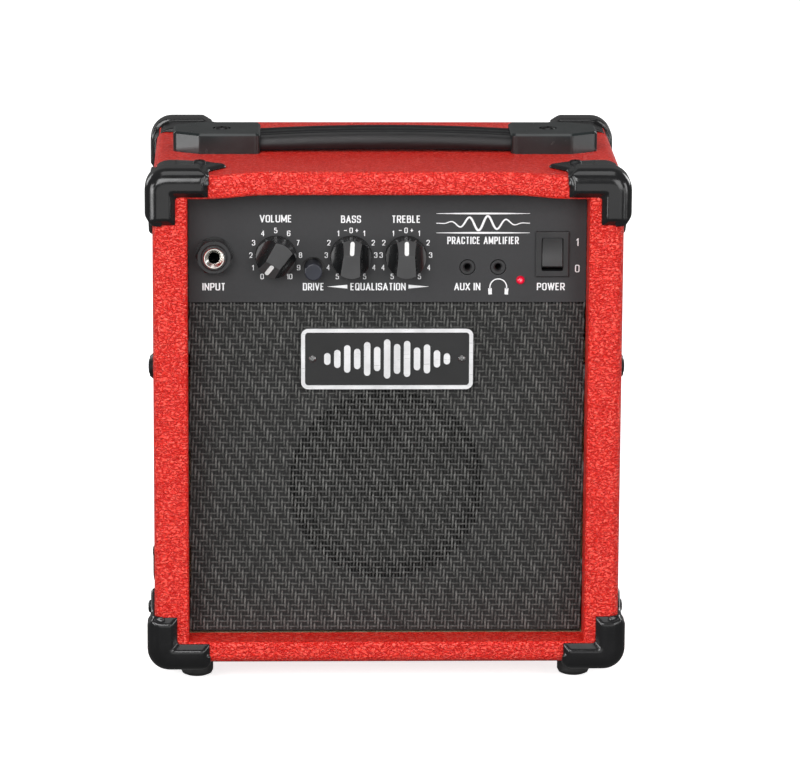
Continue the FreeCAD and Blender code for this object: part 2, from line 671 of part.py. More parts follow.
# ---------------------------------------------------------------- control panel and electronics
def make_control_panel():
    """The printed front plate and the folded tray behind it that carries the electronics."""
    high = OPEN_HIGH - GAP
    loop = crowned_loop(OPEN_X - GAP, PANEL_LOW, high, CROWN, Y_FACE)
    plate = Part.Face(loop).extrude(Vector(0, PANEL_T, 0))
    floor = box((-TRAY_X, Y_PANEL_BACK, Z_TRAY), (TRAY_X, TRAY_BACK, Z_TRAY + TRAY_T))
    flange = box((-TRAY_X, Y_PANEL_BACK, Z_TRAY), (TRAY_X, Y_FLANGE_BACK, OPEN_HIGH - 4))
    lip = box((-TRAY_X, TRAY_BACK - TRAY_T, Z_TRAY), (TRAY_X, TRAY_BACK, Z_TRAY + TRAY_LIP))
    tray = fuse_all([floor, flange, lip])
    tray = tray.cut(post(LEAD_HOLE[0], LEAD_HOLE[1], Z_TRAY - 1, Z_TRAY + 3, 6.0))
    parts["control_panel"] = cut_all(plate, panel_holes())
    parts["chassis_tray"] = cut_all(tray, panel_holes())


def panel_holes():
    """The round holes through the panel and the tray's front flange."""
    holes = [(centre, BUSHING_R) for centre in KNOBS.values()]
    holes += [(centre, SMALL_HOLE_R) for centre in SMALL_JACKS]
    holes += [(INPUT_JACK, SLEEVE_R), (DRIVE, DRIVE_TUBE_R), (LAMP, LAMP_R)]
    return [rod(x, z, Y_FACE - 1, Y_FLANGE_BACK + 1, radius) for (x, z), radius in holes]


def make_circuit_board():
    """The upright main board behind the controls, with its smoothing capacitors."""
    back = PCB_FRONT + PCB_T
    parts["main_circuit_board"] = box((-84, PCB_FRONT, Z_TRAY + TRAY_T), (80, back, 272))
    can = [(0, 0), (8, 0), (8, 2.2), (7.4, 3.0), (8, 3.8), (8, 25), (0, 25)]
    cans = [lathe(can, (x, back, 256), (0, 1, 0)) for x in (6, 26)]
    parts["filter_capacitors"] = Part.makeCompound(cans)


def knob_solid():
    """A round knob scooped away on both sides to leave a bar grip, drawn about +Z, pointing to +Y."""
    reach = 2 * KNOB_R
    knob = Part.makeCone(KNOB_R, KNOB_TIP_R, KNOB_H)
    for side in (-1, 1):
        scoop = Part.makeCylinder(SCOOP_R, 2 * reach, Vector(0, -reach, 0), Vector(0, 1, 0))
        scoop.rotate(Vector(0, 0, 0), Vector(0, 0, 1), side * SCOOP_TURN)
        scoop.translate(Vector(side * SCOOP_X, 0, SCOOP_H))
        knob = knob.cut(scoop)
    slope = box((-reach, 0, 0), (reach, reach, KNOB_H))
    slope.rotate(Vector(0, 0, 0), Vector(1, 0, 0), -SLOPE_ANGLE)
    slope.translate(Vector(0, SLOPE_START, KNOB_H))
    knob = knob.cut(slope)
    tip = edges_at(knob, lambda p: p.z > KNOB_H - 1e-6)
    knob = knob.makeFillet(0.4, tip)
    hollow = Part.makeCylinder(KNOB_R - 3.5, 3.6)
    bore = Part.makeCylinder(SHAFT_R, SHAFT_GRIP)
    return knob.cut(hollow).cut(bore)


def make_knobs():
    """Three rotary controls: knob and shaft turn inside a bushing held by a nut."""
    bodies = []
    nuts = []
    for name, (x, z) in KNOBS.items():
        y_seat = Y_FACE - KNOB_LIFT
        knob = knob_solid()
        knob.rotate(Vector(0, 0, 0), Vector(0, 0, 1), KNOB_REST[name])
        knob.rotate(Vector(0, 0, 0), Vector(1, 0, 0), 90)
        knob.translate(Vector(x, y_seat, z))
        parts[f"{name}_knob"] = knob
        parts[f"{name}_shaft"] = rod(x, z, y_seat - SHAFT_GRIP, PCB_FRONT - 5, SHAFT_R)
        can = box((x - 8, Y_FLANGE_BACK, z - 9), (x + 8, PCB_FRONT, z + 8))
        bushing = rod(x, z, y_seat - 3.0, Y_FLANGE_BACK, BUSHING_R)
        bore = rod(x, z, y_seat - 4, PCB_FRONT - 4, SHAFT_R + RUNNING)
        bodies.append(can.fuse(bushing).removeSplitter().cut(bore))
        nuts.append(hex_nut(x, z, Y_FACE - 2.4, Y_FACE, 5.0, BUSHING_R))
    parts["pot_bodies"] = Part.makeCompound(bodies)
    parts["pot_nuts"] = Part.makeCompound(nuts)


def hex_nut(x, z, y_front, y_back, half_flats, bore):
    """A six-sided nut round an axis along the depth."""
    reach = half_flats / math.cos(math.pi / 6)
    points = [Vector(x + reach * math.cos(a), y_front, z + reach * math.sin(a))
              for a in (math.radians(60 * i) for i in range(6))]
    prism = Part.Face(Part.makePolygon(points + points[:1])).extrude(Vector(0, y_back - y_front, 0))
    return prism.cut(rod(x, z, y_front, y_back, bore))


def make_input_jack():
    """A 6.35 mm instrument socket: metal sleeve, black six-sided nut with washer, plastic housing."""
    x, z = INPUT_JACK
    y_washer = Y_FACE - 0.8
    y_nut = Y_FACE - JACK_NUT_OUT
    y_boss = y_nut - 1.4
    y_sleeve = Y_FACE - JACK_SLEEVE_OUT
    washer = rod(x, z, y_washer, Y_FACE, 10.4)
    nut = hex_nut(x, z, y_nut, y_washer, 9.0, SLEEVE_R)
    nut_t = y_washer - y_nut
    dome = Part.makeCone(9.2, 9.2 + nut_t, nut_t, Vector(x, y_nut, z), Vector(0, 1, 0))
    boss = rod(x, z, y_boss, y_nut, 7.4)
    boss = boss.makeChamfer(0.6, edges_at(boss, lambda p: p.y < y_boss + 0.1)[:1])
    hole = rod(x, z, y_boss, Y_FACE, SLEEVE_R)
    parts["input_jack_nut"] = fuse_all([washer, nut.common(dome), boss]).cut(hole)
    sleeve = rod(x, z, y_sleeve, Y_FLANGE_BACK, SLEEVE_R)
    rim = sleeve.makeChamfer(0.5, edges_at(sleeve, lambda p: p.y < y_sleeve + 0.1)[:1])
    mouth = Part.makeCone(5.1, PLUG_R, JACK_MOUTH, Vector(x, y_sleeve, z), Vector(0, 1, 0))
    bore = rod(x, z, y_sleeve, Y_FLANGE_BACK, PLUG_R)
    parts["input_jack_sleeve"] = rim.cut(bore).cut(mouth)
    length = 27.0
    house = box((x - 9.5, Y_FLANGE_BACK, z - 9.5), (x + 9.5, Y_FLANGE_BACK + length, z + 9.5))
    return house.cut(rod(x, z, Y_FLANGE_BACK, Y_FLANGE_BACK + length - 2, PLUG_R))


def make_jacks():
    """The instrument socket and two 3.5 mm sockets, their noses level with the panel."""
    housings = [make_input_jack()]
    for x, z in SMALL_JACKS:
        body = box((x - 5.8, Y_FLANGE_BACK, z - 5.8), (x + 5.8, PCB_FRONT, z + 5.8))
        nose = rod(x, z, Y_FACE, Y_FLANGE_BACK, SMALL_JACK_R)
        mouth = Part.makeCone(2.6, SMALL_BORE, 0.8, Vector(x, Y_FACE, z), Vector(0, 1, 0))
        jack = body.fuse(nose).removeSplitter()
        housings.append(jack.cut(rod(x, z, Y_FACE, PCB_FRONT - 1, SMALL_BORE)).cut(mouth))
    parts["jack_housings"] = Part.makeCompound(housings)


def make_drive_button():
    """A round latching push button in a collared guide tube, on a small square switch."""
    x, z = DRIVE
    stem_r = 1.6
    guide_r = DRIVE_R + 0.15
    cap_back = Y_FLANGE_BACK + 0.2
    y_cap = Y_FACE - DRIVE_OUT
    cap = rod(x, z, y_cap, cap_back, DRIVE_R)
    cap = cap.makeFillet(0.8, edges_at(cap, lambda p: p.y < y_cap + 0.1)[:1])
    stem = rod(x, z, cap_back, PCB_FRONT - 4.5, stem_r)
    parts["drive_button"] = cap.fuse(stem).removeSplitter()
    body_front = cap_back + DRIVE_TRAVEL + 0.4
    body = box((x - 5.8, body_front, z - 5.8), (x + 5.8, PCB_FRONT, z + 5.8))
    tube = rod(x, z, Y_FACE, body_front, DRIVE_TUBE_R)
    collar = rod(x, z, Y_FACE - 1.0, Y_FACE, DRIVE_TUBE_R + 0.6)
    guide = rod(x, z, Y_FACE - 1.0, body_front, guide_r)
    bore = rod(x, z, body_front, PCB_FRONT - 0.8, stem_r + RUNNING)
    parts["drive_switch"] = fuse_all([body, tube, collar]).cut(guide).cut(bore)


def make_lamp():
    """A 5 mm red lamp standing through the panel on two legs from the board."""
    x, z = LAMP
    tip = Y_FACE - 2.2
    body = rod(x, z, tip + LAMP_R, Y_FLANGE_BACK + 1, LAMP_R)
    dome = Part.makeSphere(LAMP_R, Vector(x, tip + LAMP_R, z))
    base = rod(x, z, Y_FLANGE_BACK, Y_FLANGE_BACK + 1, 2.9)
    legs = [rod(x + side * 1.27, z, Y_FLANGE_BACK + 1, PCB_FRONT, 0.3) for side in (-1, 1)]
    parts["power_lamp"] = fuse_all([body, dome, base] + legs)


# ---------------------------------------------------------------- power switch
def make_power_switch():
    """A rocker on two short trunnions inside a framed plastic body; the top is pressed in."""
    x, z = POWER
    bezel_t = 1.8
    bezel = box((x - 9.3, Y_FACE - bezel_t, z - 12.9), (x + 9.3, Y_FACE, z + 12.9))
    rim = edges_at(bezel, lambda p: p.y < Y_FACE - bezel_t + 0.1)
    bezel = bezel.makeFillet(0.6, rim)
    half_x = SWITCH_W / 2
    half_z = SWITCH_H / 2
    body = box((x - half_x - SWITCH_WALL, Y_FACE, z - half_z - SWITCH_WALL),
               (x + half_x + SWITCH_WALL, Y_FACE + 22, z + half_z + SWITCH_WALL))
    window = box((x - half_x, Y_FACE - 3, z - half_z), (x + half_x, Y_FACE + 14, z + half_z))
    window = window.makeFillet(1.0, [e for e in window.Edges if abs(e.tangentAt(e.FirstParameter).y) > 0.99])
    tags = [box((x + dx - 2.4, Y_FACE + 22, z - 0.4), (x + dx + 2.4, Y_FACE + 27, z + 0.4))
            for dx in (-3.6, 3.6)]
    pivot = pivot_axle(half_x + SWITCH_WALL + 1, TRUNNION_R + RUNNING)
    parts["power_switch"] = fuse_all([bezel, body] + tags).cut(window).cut(pivot)
    parts["power_rocker"] = rocker()
    for host in ("control_panel", "chassis_tray"):
        parts[host] = parts[host].cut(body)


def pivot_axle(half, radius):
    """A round axle across the switch, on its pivot line."""
    x, z = POWER
    return Part.makeCylinder(radius, 2 * half, Vector(x - half, Y_FACE + SWITCH_PIVOT, z), Vector(1, 0, 0))


def rocker():
    """The rocker: concave face, undercut ends, trunnions; drawn level, then tipped to 'on'."""
    x, z = POWER
    half = SWITCH_W / 2 - 0.3
    out, up = 7.8, 7.97
    shoulder = (3.8, 8.67)
    pivot_y = Y_FACE + SWITCH_PIVOT
    ends = [Vector(x - half, pivot_y - o, z + h)
            for o, h in ((out, up), shoulder, (-2.4, 3.0), (-2.4, -3.0), (shoulder[0], -shoulder[1]),
                         (out, -up))]
    edges = [Part.LineSegment(a, b).toShape() for a, b in zip(ends, ends[1:])]
    edges.append(Part.Arc(ends[-1], Vector(x - half, pivot_y - out + 1.2, z), ends[0]).toShape())
    solid = Part.Face(Part.Wire(edges)).extrude(Vector(2 * half, 0, 0))
    rim = [e for e in solid.Edges if all(v.Point.y < pivot_y - out + 0.01 for v in e.Vertexes)]
    solid = solid.makeFillet(0.5, rim)
    solid = solid.fuse(pivot_axle(SWITCH_W / 2 + SWITCH_WALL - 0.3, TRUNNION_R)).removeSplitter()
    solid.rotate(Vector(x, pivot_y, z), Vector(1, 0, 0), -POWER_SWING)
    return solid


# ---------------------------------------------------------------- transformer
def make_transformer():
    """A laminated iron core with a wound bobbin, standing on the tray."""
    x, y = 72.0, 10.0
    floor = Z_TRAY + TRAY_T
    wide, deep, tall = 42.0, 16.0, 35.0
    limb = 7.0
    core = box((x - wide / 2, y - deep / 2, floor), (x + wide / 2, y + deep / 2, floor + tall))
    windows = [box((x + side * (limb + 3.5) - 3.5, y - deep, floor + limb),
                   (x + side * (limb + 3.5) + 3.5, y + deep, floor + tall - limb)) for side in (-1, 1)]
    parts["transformer_core"] = cut_all(core, windows)
    coil = box((x - 13.4, y - deep / 2 - 7, floor + limb + GAP), (x + 13.4, y + deep / 2 + 7,
                                                                 floor + tall - limb - GAP))
    upright = [e for e in coil.Edges if abs(e.tangentAt(e.FirstParameter).z) > 0.99]
    coil = coil.makeFillet(3.0, upright)
    inside = box((x - limb, y - deep / 2, floor), (x + limb, y + deep / 2, floor + tall))
    parts["transformer_coil"] = coil.cut(inside)


# ---------------------------------------------------------------- speaker
def speaker_lathe(profile):
    """Turn a (radius, depth) outline about the speaker's axis."""
    return lathe(profile, (0, 0, SPEAKER_Z), (0, 1, 0))


def make_speaker():
    """A 5 inch moving-coil speaker screwed to the back of the baffle."""
    front = Y_BAFFLE_BACK
    seat_y = front + 3.2
    throat = front + 30.2
    metal = 1.2
    wall = [(57, front), (SPEAKER_R, front), (SPEAKER_R, front + metal), (58.2, front + metal),
            (58.2, seat_y + metal), (36, throat + metal), (14.5, throat + metal), (14.5, throat),
            (35.2, throat), (54.5, seat_y + metal), (52.5, seat_y + metal), (52.5, seat_y), (57, seat_y)]
    basket = speaker_lathe(wall)
    for i in range(4):
        angle = 45 + 90 * i
        window = box((26, seat_y + 6, SPEAKER_Z - 13), (60, throat - 3, SPEAKER_Z + 13))
        window.rotate(Vector(0, 0, SPEAKER_Z), Vector(0, 1, 0), angle)
        basket = basket.cut(window)
    terminal = box((-7, throat - 13, SPEAKER_Z + 49), (7, throat - 11, SPEAKER_Z + 60))
    parts["speaker_basket"] = basket.fuse(terminal).removeSplitter()
    make_magnet(throat + metal)
    make_cone(seat_y, throat)
    screws = []
    for i in range(4):
        angle = math.radians(45 + 90 * i)
        x = 61.3 * math.cos(angle)
        z = SPEAKER_Z + 61.3 * math.sin(angle)
        screws.append(screw(3.2, 2.0, 1.7, 9.0, (x, front + metal, z), (0, 1, 0)))
    parts["speaker_screws"] = Part.makeCompound(screws)
    seat("speaker_screws", ["speaker_basket", "baffle_board"])


def make_magnet(front):
    """Front plate, ferrite ring and the back plate with its pole, stacked behind the basket."""
    plate, ring, back = 5.0, 12.0, 4.0
    hole = COIL_R + COIL_T + 0.5
    pole = COIL_R - 0.5
    top_plate = [(hole, front), (33, front), (33, front + plate), (hole, front + plate)]
    ferrite_front = front + plate
    ferrite = [(18, ferrite_front), (36, ferrite_front), (36, ferrite_front + ring),
               (18, ferrite_front + ring)]
    yoke_front = ferrite_front + ring
    yoke = [(0, front), (pole, front), (pole, yoke_front), (33, yoke_front), (33, yoke_front + back),
            (0, yoke_front + back)]
    parts["speaker_magnet"] = Part.makeCompound([speaker_lathe(p) for p in (top_plate, ferrite, yoke)])


def make_cone(seat_y, throat):
    """The moving parts: coil, paper cone and dust cap, hung from a foam surround and a spider."""
    neck = COIL_R + COIL_T
    rim = 46.5
    neck_y = throat - 9
    rim_y = seat_y
    paper = 0.8
    cone = [(neck, neck_y), (rim, rim_y - paper), (rim, rim_y), (neck, neck_y + 1.6)]
    parts["speaker_cone"] = speaker_lathe(cone)
    parts["voice_coil"] = speaker_lathe([(COIL_R, neck_y - 2), (neck, neck_y - 2), (neck, throat + 6.5),
                                         (COIL_R, throat + 6.5)])
    roll = Part.makeTorus(50, 3.5, Vector(0, 0, 0), Vector(0, 0, 1))
    roll = roll.cut(Part.makeTorus(50, 2.9, Vector(0, 0, 0), Vector(0, 0, 1)))
    roll = roll.common(Part.makeCylinder(70, 10, Vector(0, 0, -10)))
    lip = Part.makeCylinder(56.5, 0.6, Vector(0, 0, -0.6)).cut(Part.makeCylinder(53.2, 0.6, Vector(0, 0, -0.6)))
    parts["speaker_surround"] = place(roll.fuse(lip).removeSplitter(), (0, seat_y, SPEAKER_Z), (0, 1, 0))
    flange_y = neck_y + 5.0
    outer = 31.0
    thin = 0.6
    spider = [(neck, flange_y), (outer + thin, flange_y), (outer + thin, throat), (outer, throat),
              (outer, flange_y + thin), (neck, flange_y + thin)]
    parts["speaker_spider"] = speaker_lathe(spider)
    foot_r = 17.0
    foot_y = neck_y - (foot_r - neck) * (neck_y - rim_y + paper) / (rim - neck)
    ball = 22.0
    sink = math.sqrt(ball ** 2 - foot_r ** 2)
    cap = Part.makeSphere(ball).cut(Part.makeSphere(ball - thin))
    cap = cap.common(Part.makeCylinder(foot_r, ball, Vector(0, 0, -ball - sink)))
    cap = place(cap, (0, foot_y + sink, SPEAKER_Z), (0, 1, 0))
    parts["dust_cap"] = cap.cut(parts["speaker_cone"])


# ---------------------------------------------------------------- internal wiring
def make_wiring():
    """Two leads from the board to the speaker and two from the mains inlet to the switch."""
    board_y = PCB_FRONT + PCB_T
    hole_x, hole_y = LEAD_HOLE
    terminal_z = SPEAKER_Z + 60
    terminal_y = Y_BAFFLE_BACK + 18.2
    leads = []
    for side in (-2.2, 2.2):
        route = [(hole_x + side, board_y, 238), (hole_x + side, hole_y, 238),
                 (hole_x + side, hole_y, 205), (side * 2 - 20, terminal_y, 186),
                 (side * 2, terminal_y, 184), (side * 2, terminal_y, terminal_z)]
        leads.append(wire_tube(route, 1.0))
    parts["speaker_leads"] = Part.makeCompound(leads)
    inlet_y = Y_REAR_FACE - 18
    mains = []
    for side in (-3.6, 3.6):
        x = MAINS_INLET[0] + side
        route = [(x, inlet_y, MAINS_INLET[1]), (x, TRAY_BACK + 6, MAINS_INLET[1]),
                 (x, TRAY_BACK + 6, 268), (x, 0, 268), (POWER[0] + side, -25, POWER[1]),
                 (POWER[0] + side, Y_FACE + 27, POWER[1])]
        mains.append(wire_tube(route, 1.2))
    parts["mains_leads"] = Part.makeCompound(mains)


def export():
    """Write one file per node, each a single solid or a group of separate solids."""
    os.makedirs("parts", exist_ok=True)
    for name, shape in parts.items():
        solids = shape.Solids
        whole = solids[0] if len(solids) == 1 else Part.makeCompound(solids)
        whole.exportStep(f"parts/{name}.step")
    print(len(parts), "nodes,", sum(len(shape.Solids) for shape in parts.values()), "solids")


make_cabinet()
make_baffle()
make_badge()
make_corners()
make_corner_screws()
make_feet()
make_handle()
make_side_fixings()
make_rear_panel()
make_control_panel()
make_circuit_board()
make_knobs()
make_jacks()
make_drive_button()
make_lamp()
make_power_switch()
make_transformer()
make_speaker()
make_wiring()
export()
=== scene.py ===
"""Looks of a small practice guitar amplifier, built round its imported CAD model. Metres, the CAD's frame."""
import bpy
import math
from mathutils import Matrix, Vector


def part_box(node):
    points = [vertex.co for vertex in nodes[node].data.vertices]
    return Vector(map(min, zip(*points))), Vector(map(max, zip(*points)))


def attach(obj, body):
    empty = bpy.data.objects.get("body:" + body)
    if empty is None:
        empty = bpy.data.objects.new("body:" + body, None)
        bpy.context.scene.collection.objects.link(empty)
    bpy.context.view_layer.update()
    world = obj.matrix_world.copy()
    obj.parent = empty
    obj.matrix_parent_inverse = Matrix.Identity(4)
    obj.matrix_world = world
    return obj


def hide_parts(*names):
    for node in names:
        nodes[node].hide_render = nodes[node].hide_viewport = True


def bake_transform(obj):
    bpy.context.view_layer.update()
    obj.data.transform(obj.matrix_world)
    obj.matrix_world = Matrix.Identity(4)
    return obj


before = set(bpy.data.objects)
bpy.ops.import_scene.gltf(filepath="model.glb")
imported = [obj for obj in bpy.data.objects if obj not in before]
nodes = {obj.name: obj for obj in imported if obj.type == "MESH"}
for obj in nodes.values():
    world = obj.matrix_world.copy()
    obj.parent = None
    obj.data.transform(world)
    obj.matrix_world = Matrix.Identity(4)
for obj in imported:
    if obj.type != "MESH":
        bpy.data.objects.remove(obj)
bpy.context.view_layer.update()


# ---------------------------------------------------------------- camera, floor and lights
CAMERA_PLACE = (-0.0708, -2.7292, 0.7939)
CAMERA_ANGLES = (1.682, -13.122, 0.316)   # yaw, pitch and roll in degrees
CAMERA_LENS = 218.67      # focal length in millimetres
SURROUND = 0.14           # brightness of the surroundings in everything but the camera's own view
BACKDROP = 1.05           # brightness of the surroundings in the camera's own view
FLOOR_GLOW = 0.85
AIM = (0, 0, 0.15)        # the middle of the amplifier, where every light points


def make_camera():
    """A long lens, a little above the front and almost square to it."""
    yaw, pitch, roll = (math.radians(angle) for angle in CAMERA_ANGLES)
    forward = Vector((math.sin(yaw) * math.cos(pitch), math.cos(yaw) * math.cos(pitch), math.sin(pitch)))
    level = Vector((math.cos(yaw), -math.sin(yaw), 0))
    over = level.cross(forward)
    right = level * math.cos(roll) + over * math.sin(roll)
    up = over * math.cos(roll) - level * math.sin(roll)
    camera = bpy.data.objects.new("camera", bpy.data.cameras.new("camera"))
    bpy.context.scene.collection.objects.link(camera)
    turn = Matrix((right, up, -forward)).transposed().to_4x4()
    camera.matrix_world = Matrix.Translation(CAMERA_PLACE) @ turn
    camera.data.lens = CAMERA_LENS
    camera.data.sensor_width = 36.0
    camera.data.clip_end = 50.0
    bpy.context.scene.camera = camera


def area_light(name, place, size, power, gloss_only=False):
    """A softbox aimed at the amplifier; one for gloss only adds no diffuse light."""
    data = bpy.data.lights.new(name, "AREA")
    data.shape = "RECTANGLE"
    data.size, data.size_y = size
    data.energy = power
    lamp = bpy.data.objects.new(name, data)
    bpy.context.scene.collection.objects.link(lamp)
    lamp.location = place
    lamp.rotation_mode = "QUATERNION"
    lamp.rotation_quaternion = (Vector(AIM) - Vector(place)).to_track_quat("-Z", "Y")
    lamp.visible_camera = False
    lamp.visible_diffuse = not gloss_only


def make_surroundings():
    """White behind the object, but dim all round it, so that black gloss has something dark to reflect."""
    world = bpy.data.worlds.new("surroundings")
    bpy.context.scene.world = world
    world.use_nodes = True
    tree = world.node_tree
    seen = tree.nodes.new("ShaderNodeLightPath").outputs["Is Camera Ray"]
    strength = tree.nodes.new("ShaderNodeMath")
    strength.operation = "MULTIPLY_ADD"
    strength.inputs[1].default_value = BACKDROP - SURROUND
    strength.inputs[2].default_value = SURROUND
    tree.links.new(seen, strength.inputs[0])
    background = tree.nodes["Background"]
    background.inputs["Color"].default_value = (1, 1, 1, 1)
    tree.links.new(strength.outputs[0], background.inputs["Strength"])


def make_floor():
    """A pale paper floor that glows a little, so that it stays white under soft light."""
    half = 8.0
    mesh = bpy.data.meshes.new("floor")
    corners = [(-half, -half, 0), (half, -half, 0), (half, half, 0), (-half, half, 0)]
    mesh.from_pydata(corners, [], [(0, 1, 2, 3)])
    floor = bpy.data.objects.new("floor", mesh)
    bpy.context.scene.collection.objects.link(floor)
    paper = Finish("studio_floor", Roughness=0.9)
    shade = paper.ramp(paper.noise(3.0), (0.3, (0.88, 0.88, 0.88)), (0.7, (0.91, 0.91, 0.91)))
    paper.colour(shade)
    paper.feed(paper.shader.inputs["Emission Color"], shade)
    paper.shader.inputs["Emission Strength"].default_value = FLOOR_GLOW
    mesh.materials.append(paper.material)
    floor.visible_glossy = False
    floor.visible_diffuse = False


def make_studio():
    """Soft lights in front, above, at both sides and behind, and two small cards for glints in gloss."""
    area_light("key", (-0.9, -2.5, 1.5), (1.8, 1.4), 58)
    area_light("fill", (1.3, -2.3, 0.9), (1.2, 1.6), 24)
    area_light("left_side", (-1.7, -0.9, 0.35), (0.7, 0.9), 11)
    area_light("right_side", (1.9, -0.7, 0.45), (0.6, 1.0), 9)
    area_light("overhead", (0, -0.2, 2.4), (1.8, 1.4), 14)
    area_light("low_card", (0.1, -1.5, 0.0), (1.6, 0.5), 2.5)
    area_light("behind_left", (-1.9, 1.7, 0.9), (1.2, 1.0), 12)
    area_light("behind_right", (1.9, 1.7, 0.9), (1.2, 1.0), 20)
    area_light("left_card", (-1.5, -1.2, 0.12), (0.6, 0.5), 4.5, gloss_only=True)
    area_light("right_card", (1.5, -1.2, 0.12), (0.2, 0.5), 1.2, gloss_only=True)
    make_surroundings()
    make_floor()
    bpy.context.scene.view_settings.view_transform = "Standard"


# ---------------------------------------------------------------- material tools
class Finish:
    """A material being built: one Principled shader, and short calls that add nodes in front of it."""

    def __init__(self, name, **values):
        self.material = bpy.data.materials.new(name)
        self.material.use_nodes = True
        self.tree = self.material.node_tree
        self.shader = self.tree.nodes["Principled BSDF"]
        self.place = self.add("TexCoord").outputs["Object"]
        self.normal = None
        for socket, value in values.items():
            self.feed(self.shader.inputs[socket.replace("_", " ")], value)

    def feed(self, socket, value):
        """Links a socket to another one, or sets its value."""
        if isinstance(value, bpy.types.NodeSocket):
            self.tree.links.new(value, socket)
        elif isinstance(value, tuple) and len(value) == 3 and socket.type == "RGBA":
            socket.default_value = (*value, 1)
        else:
            socket.default_value = value

    def add(self, kind, inputs=None, **settings):
        """A new node with its settings and inputs."""
        node = self.tree.nodes.new("ShaderNode" + kind)
        for name, value in settings.items():
            setattr(node, name, value)
        for key, value in (inputs or {}).items():
            self.feed(node.inputs[key], value)
        return node

    def math(self, operation, first, second=0.0, clamp=False):
        """One sum, product or other operation on two numbers."""
        return self.add("Math", {0: first, 1: second}, operation=operation, use_clamp=clamp).outputs[0]

    def stretched(self, scale):
        """Object coordinates with a scale of their own along each axis."""
        return self.add("Mapping", {"Vector": self.place, "Scale": scale}).outputs[0]

    def noise(self, scale, detail=3.0, rough=0.55, vector=None, warp=0.0):
        """Cloudy noise, 0 to 1; scale is features per metre."""
        inputs = {"Vector": vector or self.place, "Scale": scale, "Detail": detail, "Roughness": rough,
                  "Distortion": warp}
        return self.add("TexNoise", inputs).outputs["Fac"]

    def cells(self, scale, random=1.0):
        """Distance from the edges in a pattern of cells."""
        inputs = {"Vector": self.place, "Scale": scale, "Randomness": random}
        return self.add("TexVoronoi", inputs, feature="DISTANCE_TO_EDGE").outputs["Distance"]

    def warped(self, amount, scale, vector=None):
        """Coordinates pushed about by noise, so that a pattern on them isn't regular."""
        start = vector or self.place
        push = self.add("TexNoise", {"Vector": start, "Scale": scale, "Detail": 2.0}).outputs["Color"]
        centred = self.add("VectorMath", {0: push, 1: (0.5, 0.5, 0.5)}, operation="SUBTRACT").outputs[0]
        moved = self.add("VectorMath", {0: centred, "Scale": amount}, operation="SCALE").outputs[0]
        return self.add("VectorMath", {0: start, 1: moved}, operation="ADD").outputs[0]

    def ramp(self, value, *stops):
        """A colour ramp; each stop is a place and a colour, or a place and a grey value."""
        node = self.add("ValToRGB", {"Fac": value})
        elements = node.color_ramp.elements
        while len(elements) < len(stops):
            elements.new(0.5)
        for element, (place, shade) in zip(elements, stops):
            element.position = place
            element.color = (*shade, 1) if isinstance(shade, tuple) else (shade, shade, shade, 1)
        return node.outputs["Color"]

    def mix(self, share, first, second, blend="MIX"):
        """A blend of two colours; the node repeats its sockets' names, so they are picked by number."""
        node = self.add("Mix", data_type="RGBA", blend_type=blend)
        for index, value in ((0, share), (6, first), (7, second)):
            self.feed(node.inputs[index], value)
        return node.outputs[2]

    def colour(self, value):
        """Sets or links the surface's colour."""
        self.feed(self.shader.inputs["Base Color"], value)

    def roughness(self, value):
        """Sets or links how dull the surface is."""
        self.feed(self.shader.inputs["Roughness"], value)

    def bump(self, height, depth, strength=1.0):
        """Relief in metres, added to any relief already there."""
        inputs = {"Height": height, "Distance": depth, "Strength": strength}
        if self.normal is not None:
            inputs["Normal"] = self.normal
        self.normal = self.add("Bump", inputs).outputs[0]
        self.feed(self.shader.inputs["Normal"], self.normal)

    def edge_wear(self, radius):
        """1 where the surface turns sharply within that radius, 0 on flat stretches."""
        rounded = self.add("Bevel", {"Radius": radius}, samples=4).outputs[0]
        flat = self.add("NewGeometry").outputs["Normal"]
        alike = self.add("VectorMath", {0: rounded, 1: flat}, operation="DOT_PRODUCT").outputs["Value"]
        return self.ramp(alike, (0.86, 1.0), (0.99, 0.0))


# ---------------------------------------------------------------- materials
def red_vinyl():
    """Red leather-grain vinyl: winding creases and finer wrinkles, with painted shade in them and painted
    highlight on the crests.
    """
    finish = Finish("red_vinyl")
    finish.shader.inputs["Specular IOR Level"].default_value = 0.45
    uneven = finish.warped(0.0010, 480.0, finish.stretched((0.60, 0.60, 1.0)))
    line = finish.math("ABSOLUTE", finish.math("SUBTRACT", finish.noise(610.0, 2.0, 0.55, uneven, 0.4), 0.5))
    crease = finish.ramp(line, (0.0, 0.0), (0.03, 0.6), (0.10, 1.0))
    wrinkle = finish.noise(1000.0, 1.0, 0.5, uneven)
    relief = finish.math("ADD", finish.math("MULTIPLY", crease, 0.45), finish.math("MULTIPLY", wrinkle, 0.55))
    # painted shade and highlight: the colour follows the relief, dark red in the creases and pale pink on the
    # crests
    shade = finish.ramp(relief, (0.25, (0.62, 0.004, 0.003)), (0.52, (0.77, 0.010, 0.005)),
                        (0.68, (0.83, 0.026, 0.014)), (0.80, (0.96, 0.110, 0.076)))
    patches = finish.ramp(finish.noise(14.0), (0.3, 0.0), (0.7, 0.12))
    finish.colour(finish.mix(patches, shade, (0.62, 0.015, 0.010)))
    finish.roughness(finish.ramp(wrinkle, (0.3, 0.38), (0.7, 0.28)))
    finish.bump(relief, 0.0010)
    return finish.material


